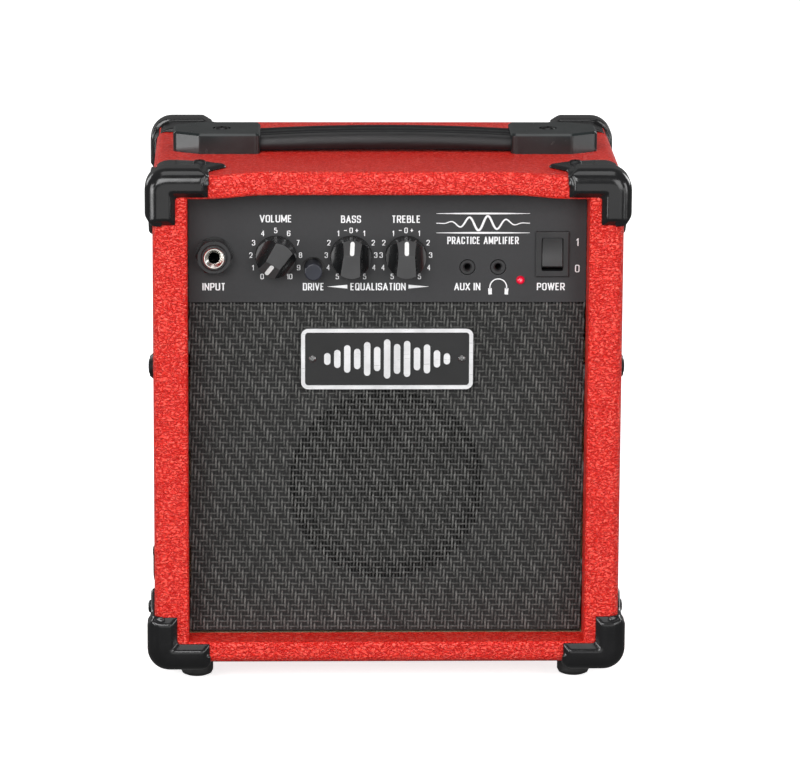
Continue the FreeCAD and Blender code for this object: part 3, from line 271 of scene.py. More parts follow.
def grille_fabric():
    """Charcoal yarn: fine fibres along each thread, with painted shade that darkens it where it dives and
    leaves the floats pale.
    """
    finish = Finish("grille_fabric", Roughness=0.6)
    finish.shader.inputs["Specular IOR Level"].default_value = 0.35
    height = finish.add("Attribute", attribute_name="height").outputs["Fac"]
    is_warp = finish.add("Attribute", attribute_name="warp").outputs["Fac"]
    upright = finish.noise(3200.0, 2.0, 0.6, finish.stretched((1.0, 1.0, 0.22)))
    level = finish.noise(3200.0, 2.0, 0.6, finish.stretched((0.22, 1.0, 1.0)))
    fibres = finish.math("ADD", finish.math("MULTIPLY", upright, is_warp),
                         finish.math("MULTIPLY", level, finish.math("SUBTRACT", 1.0, is_warp)))
    yarn = finish.noise(260.0, 2.0, 0.5, finish.stretched((1.0, 1.0, 0.35)))
    shade = finish.ramp(finish.math("MULTIPLY", fibres, finish.math("ADD", 0.5, yarn)),
                        (0.28, (0.016, 0.016, 0.0155)), (0.72, (0.178, 0.178, 0.170)))
    # painted shade: the colour darkens with how far back a yarn lies, the weft more than the warp
    raised = finish.math("MULTIPLY", height, finish.math("ADD", 0.62, finish.math("MULTIPLY", is_warp, 0.38)))
    painted_dive_shade = finish.ramp(raised, (0.0, (0.16, 0.16, 0.16)), (0.9, (1.0, 1.0, 1.0)))
    finish.colour(finish.mix(1.0, shade, painted_dive_shade, "MULTIPLY"))
    finish.roughness(finish.ramp(fibres, (0.3, 0.75), (0.7, 0.5)))
    finish.bump(fibres, 0.00010, 0.8)
    return finish.material


def moulded_plastic(name, shade, gloss, texture=2200.0, depth=0.00004, wear=0.10):
    """Black moulded plastic with a fine grain, faint mottling and slightly rubbed edges."""
    finish = Finish(name, Roughness=gloss)
    mottle = finish.noise(60.0, 4.0)
    low = tuple(channel * 0.85 for channel in shade)
    high = tuple(channel * 1.2 for channel in shade)
    base = finish.ramp(mottle, (0.3, low), (0.7, high))
    rubbed = tuple(min(1.0, channel * 2.2 + 0.01) for channel in shade)
    scuffs = finish.ramp(finish.noise(240.0), (0.35, 0.0), (0.7, 1.0))
    worn = finish.math("MULTIPLY", finish.edge_wear(0.0009), scuffs)
    finish.colour(finish.mix(finish.math("MULTIPLY", worn, wear), base, rubbed))
    finish.roughness(finish.ramp(finish.noise(130.0, 4.0), (0.3, gloss * 0.85), (0.7, gloss * 1.25)))
    finish.bump(finish.noise(texture, 2.0), depth, 0.6)
    return finish.material


def ribbed_rubber():
    """The strap: soft black plastic, satin, with faint lengthwise streaks."""
    finish = Finish("strap_rubber", Roughness=0.4)
    finish.shader.inputs["Specular IOR Level"].default_value = 0.35
    streaks = finish.noise(900.0, 3.0, 0.6, finish.stretched((0.04, 1.0, 1.0)))
    finish.colour(finish.ramp(streaks, (0.3, (0.007, 0.007, 0.0075)), (0.7, (0.015, 0.015, 0.016))))
    finish.roughness(finish.ramp(finish.noise(160.0, 4.0), (0.3, 0.34), (0.7, 0.48)))
    finish.bump(streaks, 0.00005, 0.5)
    finish.bump(finish.noise(2400.0, 2.0), 0.00003, 0.5)
    return finish.material


def panel_paint():
    """Charcoal powder coat with a fine orange peel."""
    finish = Finish("panel_paint", Roughness=0.5)
    finish.shader.inputs["Specular IOR Level"].default_value = 0.4
    mottle = finish.noise(22.0, 3.0)
    finish.colour(finish.ramp(mottle, (0.3, (0.031, 0.031, 0.0325)), (0.7, (0.037, 0.037, 0.039))))
    finish.roughness(finish.ramp(finish.noise(500.0, 3.0), (0.3, 0.42), (0.7, 0.58)))
    finish.bump(finish.noise(1500.0, 2.0), 0.00004, 0.5)
    return finish.material


def metal(name, shade, roughness, scratch=0.00002, stretch=(1.0, 1.0, 1.0), metallic=1.0):
    """Plated, bare or metal-coloured surface with fine brushing and smudges."""
    finish = Finish(name, Metallic=metallic)
    brushing = finish.noise(2200.0, 3.0, 0.6, finish.stretched(stretch))
    smudges = finish.noise(90.0, 4.0)
    dull = tuple(channel * 0.8 for channel in shade)
    finish.colour(finish.ramp(smudges, (0.3, dull), (0.7, shade)))
    finish.roughness(finish.ramp(brushing, (0.3, roughness * 0.75), (0.7, roughness * 1.3)))
    finish.bump(brushing, scratch, 0.6)
    return finish.material


def painted(name, shade, roughness, depth=0.00003):
    """Plain paint, ink or lacquer with a little unevenness."""
    finish = Finish(name)
    speckle = finish.noise(700.0, 3.0)
    low = tuple(channel * 0.9 for channel in shade)
    finish.colour(finish.ramp(speckle, (0.3, low), (0.7, shade)))
    finish.roughness(finish.ramp(finish.noise(300.0, 3.0), (0.3, roughness * 0.85), (0.7, roughness * 1.15)))
    finish.bump(speckle, depth, 0.5)
    return finish.material


def particle_board():
    """Raw board: pale chips pressed together."""
    finish = Finish("particle_board", Roughness=0.85)
    chips = finish.add("TexVoronoi", {"Vector": finish.warped(0.003, 200.0), "Scale": 420.0}).outputs["Color"]
    tone = finish.add("SeparateColor", {0: chips}).outputs[0]
    finish.colour(finish.ramp(tone, (0.1, (0.36, 0.24, 0.13)), (0.5, (0.52, 0.37, 0.22)),
                              (0.9, (0.66, 0.52, 0.34))))
    finish.bump(tone, 0.0001, 0.5)
    finish.bump(finish.noise(1400.0, 3.0), 0.00008, 0.5)
    return finish.material


def rear_board():
    """Black-painted back board with a faint fibre texture."""
    finish = Finish("rear_board", Roughness=0.6)
    fibre = finish.noise(900.0, 4.0, 0.65, finish.stretched((0.35, 1.0, 1.0)))
    finish.colour(finish.ramp(fibre, (0.3, (0.012, 0.012, 0.013)), (0.7, (0.028, 0.028, 0.029))))
    finish.roughness(finish.ramp(finish.noise(70.0, 4.0), (0.3, 0.5), (0.7, 0.72)))
    finish.bump(fibre, 0.00012, 0.7)
    return finish.material


def circuit_board():
    """Green solder mask with a faint lattice of copper tracks under it."""
    finish = Finish("circuit_board", Roughness=0.35)
    lattice = finish.cells(240.0, random=0.25)
    finish.colour(finish.ramp(lattice, (0.0, (0.02, 0.16, 0.06)), (0.12, (0.008, 0.07, 0.03))))
    finish.bump(lattice, 0.00004, 0.5)
    return finish.material


def cone_paper():
    """Black pressed paper pulp with fine fibres."""
    finish = Finish("cone_paper", Roughness=0.8)
    fibre = finish.noise(1100.0, 5.0, 0.7, warp=1.0)
    finish.colour(finish.ramp(fibre, (0.3, (0.014, 0.014, 0.014)), (0.7, (0.04, 0.04, 0.038))))
    finish.bump(fibre, 0.00015, 0.7)
    return finish.material


def woven_spider():
    """Amber resin-treated cloth."""
    finish = Finish("spider_cloth", Roughness=0.7)
    thread = finish.noise(1600.0, 3.0, 0.6)
    finish.colour(finish.ramp(thread, (0.3, (0.36, 0.20, 0.05)), (0.7, (0.55, 0.34, 0.12))))
    finish.bump(thread, 0.0001, 0.6)
    return finish.material


def foam():
    """Dark open-cell foam."""
    finish = Finish("surround_foam", Roughness=0.9)
    pores = finish.cells(1500.0)
    finish.colour(finish.ramp(pores, (0.0, (0.010, 0.010, 0.010)), (0.4, (0.035, 0.035, 0.035))))
    finish.bump(pores, 0.0001, 0.7)
    return finish.material


def wound_tape():
    """Yellow tape and copper turns round a coil."""
    finish = Finish("coil_tape", Roughness=0.45)
    turns = finish.add("TexWave", {"Vector": finish.place, "Scale": 420.0, "Distortion": 0.4},
                       bands_direction="Z").outputs["Fac"]
    finish.colour(finish.ramp(turns, (0.2, (0.45, 0.24, 0.03)), (0.8, (0.72, 0.46, 0.08))))
    finish.bump(turns, 0.0001, 0.6)
    return finish.material


def laminated_iron():
    """Stacked iron sheets, dull grey with a trace of rust."""
    finish = Finish("core_iron", Metallic=0.8, Roughness=0.5)
    waves = finish.add("TexWave", {"Vector": finish.place, "Scale": 500.0}, bands_direction="Y")
    sheets = waves.outputs["Fac"]
    rust = finish.ramp(finish.noise(120.0, 4.0), (0.55, 0.0), (0.75, 0.6))
    plain = finish.ramp(sheets, (0.2, (0.10, 0.10, 0.11)), (0.8, (0.26, 0.26, 0.28)))
    finish.colour(finish.mix(rust, plain, (0.22, 0.09, 0.04)))
    finish.bump(sheets, 0.00015, 0.7)
    return finish.material


def glowing_lamp():
    """A red lens lit from inside, brightest at its middle."""
    finish = Finish("lamp_red", Roughness=0.12)
    frosting = finish.noise(1500.0, 2.0)
    finish.colour(finish.ramp(frosting, (0.3, (0.50, 0.004, 0.02)), (0.7, (0.62, 0.008, 0.03))))
    low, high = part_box("power_lamp")
    middle = ((low.x + high.x) / 2, 0.0, (low.z + high.z) / 2)
    flat = finish.add("VectorMath", {0: finish.place, 1: (1.0, 0.0, 1.0)}, operation="MULTIPLY").outputs[0]
    reach = finish.add("VectorMath", {0: flat, 1: middle}, operation="DISTANCE").outputs["Value"]
    share = finish.math("DIVIDE", reach, 0.0025, clamp=True)
    glow = finish.ramp(share, (0.0, (1.0, 0.42, 0.46)), (0.28, (0.85, 0.03, 0.07)), (0.60, (0.34, 0.0, 0.02)),
                       (1.0, (0.12, 0.0, 0.005)))
    finish.feed(finish.shader.inputs["Emission Color"], glow)
    finish.shader.inputs["Emission Strength"].default_value = 0.9
    finish.shader.inputs["Coat Weight"].default_value = 0.6
    finish.bump(frosting, 0.00002, 0.4)
    return finish.material


# ---------------------------------------------------------------- materials on the CAD nodes
KNOB_NODES = ["volume_knob", "bass_knob", "treble_knob"]
FRONT_TILT = -0.78        # knob faces whose normals have a lower y than this get a paler plastic, a painted highlight


def finish_nodes():
    """Gives every CAD node its material."""
    plastic = moulded_plastic("black_plastic", (0.022, 0.022, 0.023), 0.42)
    finishes = {
        red_vinyl(): ["vinyl_covering"],
        particle_board(): ["side_board_left", "side_board_right", "top_board", "bottom_board",
                           "wooden_cleats"],
        painted("baffle_black", (0.010, 0.010, 0.010), 0.8, 0.0001): ["baffle_board"],
        moulded_plastic("badge_lacquer", (0.012, 0.012, 0.0125), 0.35): ["badge_plate"],
        metal("dark_nickel", (0.24, 0.24, 0.24), 0.24): ["badge_screws"],
        metal("black_oxide", (0.05, 0.05, 0.052), 0.35): ["corner_screws", "handle_screws", "cup_washers",
                                                          "side_screws", "rear_panel_screws",
                                                          "speaker_screws"],
        moulded_plastic("corner_plastic", (0.009, 0.009, 0.0095), 0.17, 1400.0, 0.00001, 0.05): [
            "corners_front_top", "corners_front_bottom", "corners_rear_top", "corners_rear_bottom"],
        moulded_plastic("foot_rubber", (0.016, 0.016, 0.016), 0.62): ["rubber_feet"],
        metal("zinc_plate", (0.62, 0.62, 0.60), 0.32): ["foot_screws", "pot_nuts"],
        moulded_plastic("handle_plastic", (0.015, 0.019, 0.0195), 0.22): ["handle_cap_left",
                                                                          "handle_cap_right"],
        rear_board(): ["rear_panel"],
        panel_paint(): ["control_panel"],
        metal("tray_steel", (0.46, 0.47, 0.48), 0.38, 0.00002, (0.05, 1.0, 1.0)): ["chassis_tray"],
        circuit_board(): ["main_circuit_board"],
        metal("pot_metal", (0.55, 0.56, 0.57), 0.3): ["pot_bodies", "volume_shaft", "bass_shaft",
                                                      "treble_shaft"],
        moulded_plastic("knob_plastic", (0.010, 0.0105, 0.011), 0.24): KNOB_NODES,
        moulded_plastic("button_plastic", (0.020, 0.022, 0.032), 0.30): ["drive_button"],
        moulded_plastic("switch_tube_plastic", (0.004, 0.004, 0.004), 0.18): ["drive_switch"],
        plastic: ["jack_housings", "power_switch", "power_rocker", "mains_inlet"],
        moulded_plastic("nut_plastic", (0.022, 0.022, 0.023), 0.24): ["input_jack_nut"],
        metal("jack_chrome", (0.93, 0.91, 0.86), 0.16): ["input_jack_sleeve"],
        glowing_lamp(): ["power_lamp"],
        laminated_iron(): ["transformer_core"],
        wound_tape(): ["transformer_coil", "voice_coil"],
        painted("capacitor_sleeve", (0.02, 0.04, 0.12), 0.3): ["filter_capacitors"],
        metal("basket_steel", (0.12, 0.12, 0.125), 0.4): ["speaker_basket"],
        painted("magnet_ferrite", (0.045, 0.045, 0.047), 0.6, 0.00012): ["speaker_magnet"],
        cone_paper(): ["speaker_cone", "dust_cap"],
        foam(): ["speaker_surround"],
        woven_spider(): ["speaker_spider"],
        painted("lead_red", (0.50, 0.015, 0.015), 0.4): ["speaker_leads"],
        painted("lead_black", (0.02, 0.02, 0.02), 0.4): ["mains_leads"],
    }
    for material, names in finishes.items():
        for name in names:
            mesh = nodes[name].data
            mesh.materials.clear()
            mesh.materials.append(material)
    # painted highlight: the knobs' forward-facing faces get a paler plastic, standing in for the light that
    # falls on them
    painted_highlight_face = moulded_plastic("knob_face_painted_highlight", (0.046, 0.046, 0.047), 0.36)
    for name in KNOB_NODES:
        mesh = nodes[name].data
        mesh.materials.append(painted_highlight_face)
        for polygon in mesh.polygons:
            if polygon.normal.y < FRONT_TILT:
                polygon.material_index = 1


# ---------------------------------------------------------------- mesh tools
def mesh_piece(name, points, faces, material, body="root", smooth=True):
    """A new piece from points in metres, riding on a body."""
    mesh = bpy.data.meshes.new(name)
    mesh.from_pydata(points, [], faces)
    mesh.polygons.foreach_set("use_smooth", [smooth] * len(mesh.polygons))
    mesh.materials.append(material)
    mesh.validate()
    piece = bpy.data.objects.new(name, mesh)
    bpy.context.scene.collection.objects.link(piece)
    if body:
        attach(piece, body)
    return piece


def joined(name, meshes, material, body):
    """One piece made of several meshes that already lie in the frame."""
    points = []
    faces = []
    for mesh in meshes:
        start = len(points)
        points += [vertex.co[:] for vertex in mesh.vertices]
        faces += [[start + index for index in polygon.vertices] for polygon in mesh.polygons]
        bpy.data.meshes.remove(mesh)
    return mesh_piece(name, points, faces, material, body, smooth=False)


def on_front(mesh, x, z, y, turn=0.0):
    """Stands a flat mesh drawn in x and y upright at a place on the front, facing -Y."""
    upright = Matrix.Rotation(math.radians(90), 4, "X")
    mesh.transform(Matrix.Translation((x, y, z)) @ Matrix.Rotation(turn, 4, "Y") @ upright)
    return mesh


def outline_mesh(outline, thickness):
    """A flat closed solid over an outline drawn in x and y."""
    count = len(outline)
    points = [(x, y, side * thickness / 2) for side in (-1, 1) for x, y in outline]
    faces = [tuple(reversed(range(count))), tuple(range(count, 2 * count))]
    faces += [(i, (i + 1) % count, count + (i + 1) % count, count + i) for i in range(count)]
    mesh = bpy.data.meshes.new("outline")
    mesh.from_pydata(points, [], faces)
    return mesh


def round_ended_bar(radius, straight, steps):
    """The outline of an upright bar with half-round ends, whose centres lie straight above and below 0."""
    arc = [math.pi * i / steps for i in range(steps + 1)]
    outline = [(radius * math.cos(angle), straight + radius * math.sin(angle)) for angle in arc]
    return outline + [(-x, -y) for x, y in outline]


def rounded_line(points, bend):
    """A line drawn in x and y with its corners rounded; a line that ends where it starts is closed."""
    points = [Vector(point) for point in points]
    closed = (points[0] - points[-1]).length < SAME_PLACE
    if closed:
        points = points[:-1]
    count = len(points)
    line = []
    for index, corner in enumerate(points):
        if not closed and index in (0, count - 1):
            line.append(corner)
            continue
        before = points[index - 1] - corner
        after = points[(index + 1) % count] - corner
        half = before.angle(after) / 2
        setback = min(bend / math.tan(half), before.length / 2, after.length / 2)
        start = corner + before.normalized() * setback
        end = corner + after.normalized() * setback
        for step in range(BEND_STEPS + 1):
            share = step / BEND_STEPS
            pull = 2 * share * (1 - share) * BEND_FULLNESS
            along = start * (1 - share) ** 2 + end * share ** 2 + corner * (2 * share * (1 - share))
            line.append(along + (corner - (start + end) / 2) * pull)
    if closed:
        line.append(line[0])
    return line


def ribbon(line, widths, thickness):
    """A flat closed band along a line drawn in x and y, with a full width at each of its points."""
    closed = (line[0] - line[-1]).length < SAME_PLACE
    points = []
    for index, point in enumerate(line):
        before = line[index - 1] if index else (line[-2] if closed else point)
        after = line[index + 1] if index + 1 < len(line) else (line[1] if closed else point)
        across = (after - before).normalized().orthogonal() * widths[index] / 2
        for side, front in ((-1, -1), (1, -1), (1, 1), (-1, 1)):
            spot = point + side * across
            points.append((spot.x, spot.y, front * thickness / 2))
    faces = []
    for index in range(len(line) - 1):
        base = index * 4
        faces += [(base + i, base + (i + 1) % 4, base + 4 + (i + 1) % 4, base + 4 + i) for i in range(4)]
    if not closed:
        last = len(points) - 4
        faces += [(3, 2, 1, 0), (last, last + 1, last + 2, last + 3)]
    mesh = bpy.data.meshes.new("ribbon")
    mesh.from_pydata(points, [], faces)
    return mesh


def even_ribbon(points, bend, width, thickness):
    """A band of one width along a line with rounded corners."""
    line = rounded_line(points, bend)
    return ribbon(line, [width] * len(line), thickness)


# ---------------------------------------------------------------- lettering
BEND_STEPS = 7
BEND_FULLNESS = 0.17      # pulls the curve of a rounded corner out to nearly a circle
LEVEL_WEIGHT = 0.8        # weight of level strokes as a share of upright ones
LETTER_GAP = 0.6          # gap between letters as a share of their weight
WORD_SPACE = 0.26         # gap between words as a share of their height
STROKE_STAGGER = 0.2      # how much thicker each next stroke is, so that no two crossing faces coincide
SAME_PLACE = 1e-9         # points nearer than this are one point
LOOP = [(0, 0), (0, 1), (1, 1), (1, 0), (0, 0)]
STEM = [(0, 0), (0, 1)]
TOP_BAR = [(0, 1), (1, 1)]
LOW_BAR = [(0, 0), (1, 0)]
P_BOWL = [(0, 1), (1, 1), (1, 0.44), (0, 0.44)]
# Each sign: its width as a share of its height, and its strokes in a unit square.
GLYPHS = {
    "A": (0.56, [[(0, 0), (0.5, 1)], [(0.5, 1), (1, 0)], [(0.2, 0.3), (0.8, 0.3)]]),
    "B": (0.48, [STEM, [(0, 1), (0.88, 1), (0.88, 0.53), (0, 0.53)], [(0, 0.53), (1, 0.53), (1, 0), (0, 0)]]),
    "C": (0.46, [[(1, 0.7), (1, 1), (0, 1), (0, 0), (1, 0), (1, 0.3)]]),
    "D": (0.50, [STEM, [(0, 1), (1, 1), (1, 0), (0, 0)]]),
    "E": (0.40, [STEM, TOP_BAR, LOW_BAR, [(0, 0.52), (0.9, 0.52)]]),
    "F": (0.38, [STEM, TOP_BAR, [(0, 0.5), (0.9, 0.5)]]),
    "I": (0.0, [STEM]),
    "L": (0.36, [STEM, LOW_BAR]),
    "M": (0.66, [STEM, [(0, 1), (0.5, 0.12)], [(0.5, 0.12), (1, 1)], [(1, 1), (1, 0)]]),
    "N": (0.52, [STEM, [(0, 1), (1, 0)], [(1, 0), (1, 1)]]),
    "O": (0.48, [LOOP]),
    "P": (0.46, [STEM, P_BOWL]),
    "Q": (0.48, [LOOP, [(0.6, 0.24), (1.1, -0.08)]]),
    "R": (0.48, [STEM, P_BOWL, [(0.45, 0.44), (1, 0)]]),
    "S": (0.46, [[(1, 0.74), (1, 1), (0, 1), (0, 0.53), (1, 0.47), (1, 0), (0, 0), (0, 0.26)]]),
    "T": (0.46, [TOP_BAR, [(0.5, 0), (0.5, 1)]]),
    "U": (0.50, [[(0, 1), (0, 0), (1, 0), (1, 1)]]),
    "V": (0.54, [[(0, 1), (0.5, 0)], [(0.5, 0), (1, 1)]]),
    "W": (0.84, [[(0, 1), (0.26, 0)], [(0.26, 0), (0.5, 1)], [(0.5, 1), (0.74, 0)], [(0.74, 0), (1, 1)]]),
    "X": (0.52, [[(0, 0), (1, 1)], [(0, 1), (1, 0)]]),
    "0": (0.46, [LOOP]),
    "1": (0.20, [[(1, 0), (1, 1)], [(1, 1), (0, 0.74)]]),
    "2": (0.44, [[(0, 0.72), (0, 1), (1, 1), (1, 0.6), (0, 0)], LOW_BAR]),
    "3": (0.44, [[(0, 0.76), (0, 1), (0.96, 1), (0.96, 0.54), (0.4, 0.54)],
                 [(0.4, 0.54), (1, 0.54), (1, 0), (0, 0), (0, 0.24)]]),
    "4": (0.50, [[(0.74, 0), (0.74, 1)], [(0.74, 1), (0, 0.3)], [(0, 0.3), (1, 0.3)]]),
    "5": (0.44, [[(0.92, 1), (0.1, 1)], [(0.1, 1), (0.04, 0.56)],
                 [(0.04, 0.6), (1, 0.6), (1, 0), (0, 0), (0, 0.24)]]),
    "6": (0.46, [[(0, 0), (0, 0.58), (1, 0.58), (1, 0), (0, 0)], [(0, 0.3), (0, 1), (1, 1), (1, 0.78)]]),
    "7": (0.42, [TOP_BAR, [(1, 1), (0.34, 0)]]),
    "8": (0.46, [[(0.05, 0.53), (0.05, 1), (0.95, 1), (0.95, 0.53), (0.05, 0.53)],
                 [(0, 0), (0, 0.53), (1, 0.53), (1, 0), (0, 0)]]),
    "9": (0.46, [[(0, 0.42), (0, 1), (1, 1), (1, 0.42), (0, 0.42)], [(1, 0.7), (1, 0), (0, 0), (0, 0.22)]]),
    "-": (0.50, [[(0, 0.5), (1, 0.5)]]),
    "+": (0.50, [[(0, 0.5), (1, 0.5)], [(0.5, 0.16), (0.5, 0.84)]]),
}


def reach_edges(line, edge, extra):
    """Lengthens an upright stroke that ends on the base or top line, so that it fills the sign's height."""
    for end, inner in ((0, 1), (-1, -2)):
        lean = line[end] - line[inner]
        if abs(lean.y) > abs(lean.x) and abs(abs(line[end].y) - edge) < SAME_PLACE:
            line[end] = line[end] + lean.normalized() * extra
    return line


def letters(text, height, weight, width=None):
    """Meshes of the strokes of one centred line of text; a given width stretches the letters to it."""
    gap = LETTER_GAP * weight
    space = WORD_SPACE * height
    solid = sum(GLYPHS[sign][0] * height for sign in text if sign != " ")
    fixed = sum(space if sign == " " else weight for sign in text) + gap * (len(text) - 1)
    stretch = (width - fixed) / solid if width else 1.0
    left = -(solid * stretch + fixed) / 2
    squat = Matrix.Diagonal((1, LEVEL_WEIGHT, 1, 1))
    meshes = []
    for sign in text:
        if sign == " ":
            left += space + gap
            continue
        share, strokes = GLYPHS[sign]
        wide = share * height * stretch
        tall = height / LEVEL_WEIGHT - weight
        for order, stroke in enumerate(strokes):
            line = [Vector((left + weight / 2 + x * wide, (y - 0.5) * tall)) for x, y in stroke]
            if stroke[0] != stroke[-1]:
                line = reach_edges(line, tall / 2, weight / 2)
            mesh = even_ribbon(line, 0.5 * wide, weight, PRINT_T * (1 + STROKE_STAGGER * order))
            mesh.transform(squat)
            meshes.append(mesh)
        left += wide + weight + gap
    return meshes


# ---------------------------------------------------------------- printed panel
PRINT_T = 0.00008         # thickness of the ink
LABEL_H = 0.0042
LABEL_WEIGHT = 0.00072
DIGIT_H = 0.0031
DIGIT_WEIGHT = 0.00048
SWITCH_MARK_H = 0.0043
KNOB_Z = 0.2441
LOW_LABEL_Z = 0.2265      # middle of the row of labels under the controls
# Each knob: x and z of its axis, and how many degrees clockwise from straight up it points.
KNOBS = {"volume": (-0.0625, KNOB_Z, -147.0), "bass": (-0.0204, KNOB_Z, 4.0), "treble": (0.0103, KNOB_Z, 1.0)}
DIAL_STEP = math.radians(29.4)
DIAL_R = 0.0129           # least distance of the numbers from the knob's axis
DIAL_WIDER = 0.0009       # how much further out the numbers at the sides stand
DIAL_TALLER = 0.0016      # how much further out the numbers above and below stand
DIAL_TUCK = 0.0007        # how much nearer the lowest two stand
SIGN_X = 0.0032           # places of the minus and plus signs
SIGN_Z = 0.0145
# Each label: its text, the x and z of its middle, and its width.
LABELS = [("INPUT", -0.0971, LOW_LABEL_Z, 0.0129), ("DRIVE", -0.0414, LOW_LABEL_Z, 0.0119),
          ("EQUALISATION", -0.0052, LOW_LABEL_Z, 0.0310), ("AUX IN", 0.0448, LOW_LABEL_Z, 0.0147),
          ("POWER", 0.0917, LOW_LABEL_Z, 0.0157), ("VOLUME", -0.0625, 0.2653, 0.0179),
          ("BASS", -0.0205, 0.2650, 0.0112), ("TREBLE", 0.0103, 0.2650, 0.0161),
          ("PRACTICE AMPLIFIER", 0.0534, 0.2529, 0.0400)]
SWITCH_MARKS = [("1", 0.1062, 0.2519), ("0", 0.1064, 0.2368)]


def dial_marks(name):
    """The numbers round one knob: each with its offset from the knob's axis."""
    marks = []
    for step in range(-5, 6):
        angle = step * DIAL_STEP
        reach = DIAL_R + DIAL_WIDER * abs(math.sin(angle)) + DIAL_TALLER * abs(math.cos(angle))
        reach -= DIAL_TUCK if abs(step) == 5 else 0.0
        text = str(step + 5) if name == "volume" else str(abs(step))
        marks.append((text, reach * math.sin(angle), reach * math.cos(angle)))
    if name != "volume":
        marks += [("-", -SIGN_X, SIGN_Z), ("+", SIGN_X, SIGN_Z)]
    return marks


def headphone_mark():
    """A headband arc with two ear cups, drawn in x and y."""
    reach = 0.0047
    drop = Vector((0, -0.0012))
    band_w = 0.00065
    cup_w = 0.0020
    steps = 20
    angles = [math.pi * i / steps for i in range(steps + 1)]
    band = [Vector((reach * math.cos(angle), reach * math.sin(angle))) for angle in angles]
    band = [band[0] + drop] + band + [band[-1] + drop]
    shapes = [ribbon(band, [band_w] * len(band), PRINT_T)]
    for side in (-1, 1):
        cup = rounded_line([(side * reach, -0.0006), (side * (reach - 0.0002), -0.0042)], 0)
        shapes.append(ribbon(cup, [cup_w, cup_w], PRINT_T))
    return shapes


def wave_mark():
    """A generic motif: a swelling sine wave between two tapering pinstripes."""
    half = 0.0262
    steps = 96
    swing = 0.0042
    half_waves = 5
    thin = 0.00045
    thicker = 0.0008
    stripe_level = 0.0055
    stripe_widths = [0.0002, 0.0008, 0.0011, 0.0008, 0.0002]
    line = []
    widths = []
    for i in range(steps + 1):
        share = 2 * i / steps - 1
        swell = math.cos(share * math.pi / 2) ** 2
        line.append(Vector((share * half, swing * swell * math.sin(share * half_waves * math.pi))))
        widths.append(thin + thicker * swell)
    shapes = [ribbon(line, widths, PRINT_T)]
    for level in (-stripe_level, stripe_level):
        stripe = [Vector((share * half, level)) for share in (-1, -0.5, 0, 0.5, 1)]
        shapes.append(ribbon(stripe, stripe_widths, PRINT_T))
    return shapes


def make_panel_print(ink):
    """All the white printing on the control panel, one piece."""
    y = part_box("control_panel")[0].y - PRINT_T / 2
    drawn = [(letters(text, LABEL_H, LABEL_WEIGHT, width), x, z) for text, x, z, width in LABELS]
    drawn += [(letters(text, SWITCH_MARK_H, DIGIT_WEIGHT * 1.2), x, z) for text, x, z in SWITCH_MARKS]
    for name, (x, z, _) in KNOBS.items():
        drawn += [(letters(text, DIGIT_H, DIGIT_WEIGHT), x + across, z + up)
                  for text, across, up in dial_marks(name)]
    drawn.append((headphone_mark(), 0.0622, 0.2262))
    drawn.append((wave_mark(), 0.0534, 0.2627))
    wedge_half = 0.0011
    for thin, thick in ((-0.0337, -0.0224), (0.0234, 0.0118)):
        wedge = [(thin, 0.0), (thick, wedge_half), (thick, -wedge_half)]
        drawn.append(([outline_mesh(wedge, PRINT_T)], 0, LOW_LABEL_Z))
    shapes = [on_front(shape, x, z, y) for group, x, z in drawn for shape in group]
    joined("panel_print", shapes, ink, "root")


# ---------------------------------------------------------------- badge
BADGE_RIM = 0.0008        # how far the rim stands above the plate
RIM_MARGIN = 0.00002      # faces this much before the plate belong to the rim
BAR_LEVELS = (0.30, 0.46, 0.70, 0.52, 0.86, 0.62, 1.0, 0.76, 0.92, 0.58, 0.74, 0.44, 0.28)
BAR_H = 0.0225            # height of the tallest bar
BAR_R = 0.0018
BAR_SPACING = 0.0056
BAR_T = 0.0009
BAR_FORWARD = 0.0003      # how far the middle of a bar lies before the plate


def make_badge(silver):
    """A silver rim on the plate, and a generic emblem of raised sound-level bars."""
    low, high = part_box("badge_plate")
    plate = nodes["badge_plate"].data
    plate.materials.append(silver)
    for polygon in plate.polygons:
        if polygon.center.y < low.y + BADGE_RIM - RIM_MARGIN:
            polygon.material_index = 1
    centre = (low + high) / 2
    y = low.y + BADGE_RIM - BAR_FORWARD
    shapes = []
    for index, level in enumerate(BAR_LEVELS):
        x = (index - (len(BAR_LEVELS) - 1) / 2) * BAR_SPACING
        outline = round_ended_bar(BAR_R, BAR_H * level / 2 - BAR_R, 10)
        shapes.append(on_front(outline_mesh(outline, BAR_T), centre.x + x, centre.z, y))
    joined("badge_emblem", shapes, silver, "root")


# ---------------------------------------------------------------- knob pointers
SLOPE = math.radians(35)  # angle of the knob's sloped end
SLOPE_START = 0.0029      # how far from the axis the slope starts
POINTER_L = 0.0086
POINTER_W = 0.0024
POINTER_T = 0.0002
POINTER_INSET = 0.0002    # bare slope before the line begins


def make_pointers(ink):
    """The white line along the sloped end of each knob's bar."""
    radius = POINTER_W / 2
    outline = round_ended_bar(radius, POINTER_L / 2 - radius, 8)
    middle = POINTER_INSET + POINTER_L / 2
    lie = Matrix.Rotation(-SLOPE, 4, "X")
    lie.translation = (0, SLOPE_START + middle * math.cos(SLOPE), -middle * math.sin(SLOPE))
    for name, (x, z, turn) in KNOBS.items():
        mesh = outline_mesh(outline, POINTER_T)
        mesh.transform(lie)
        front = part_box(name + "_knob")[0].y
        joined(name + "_pointer", [on_front(mesh, x, z, front, math.radians(turn))], ink, name + "_control")


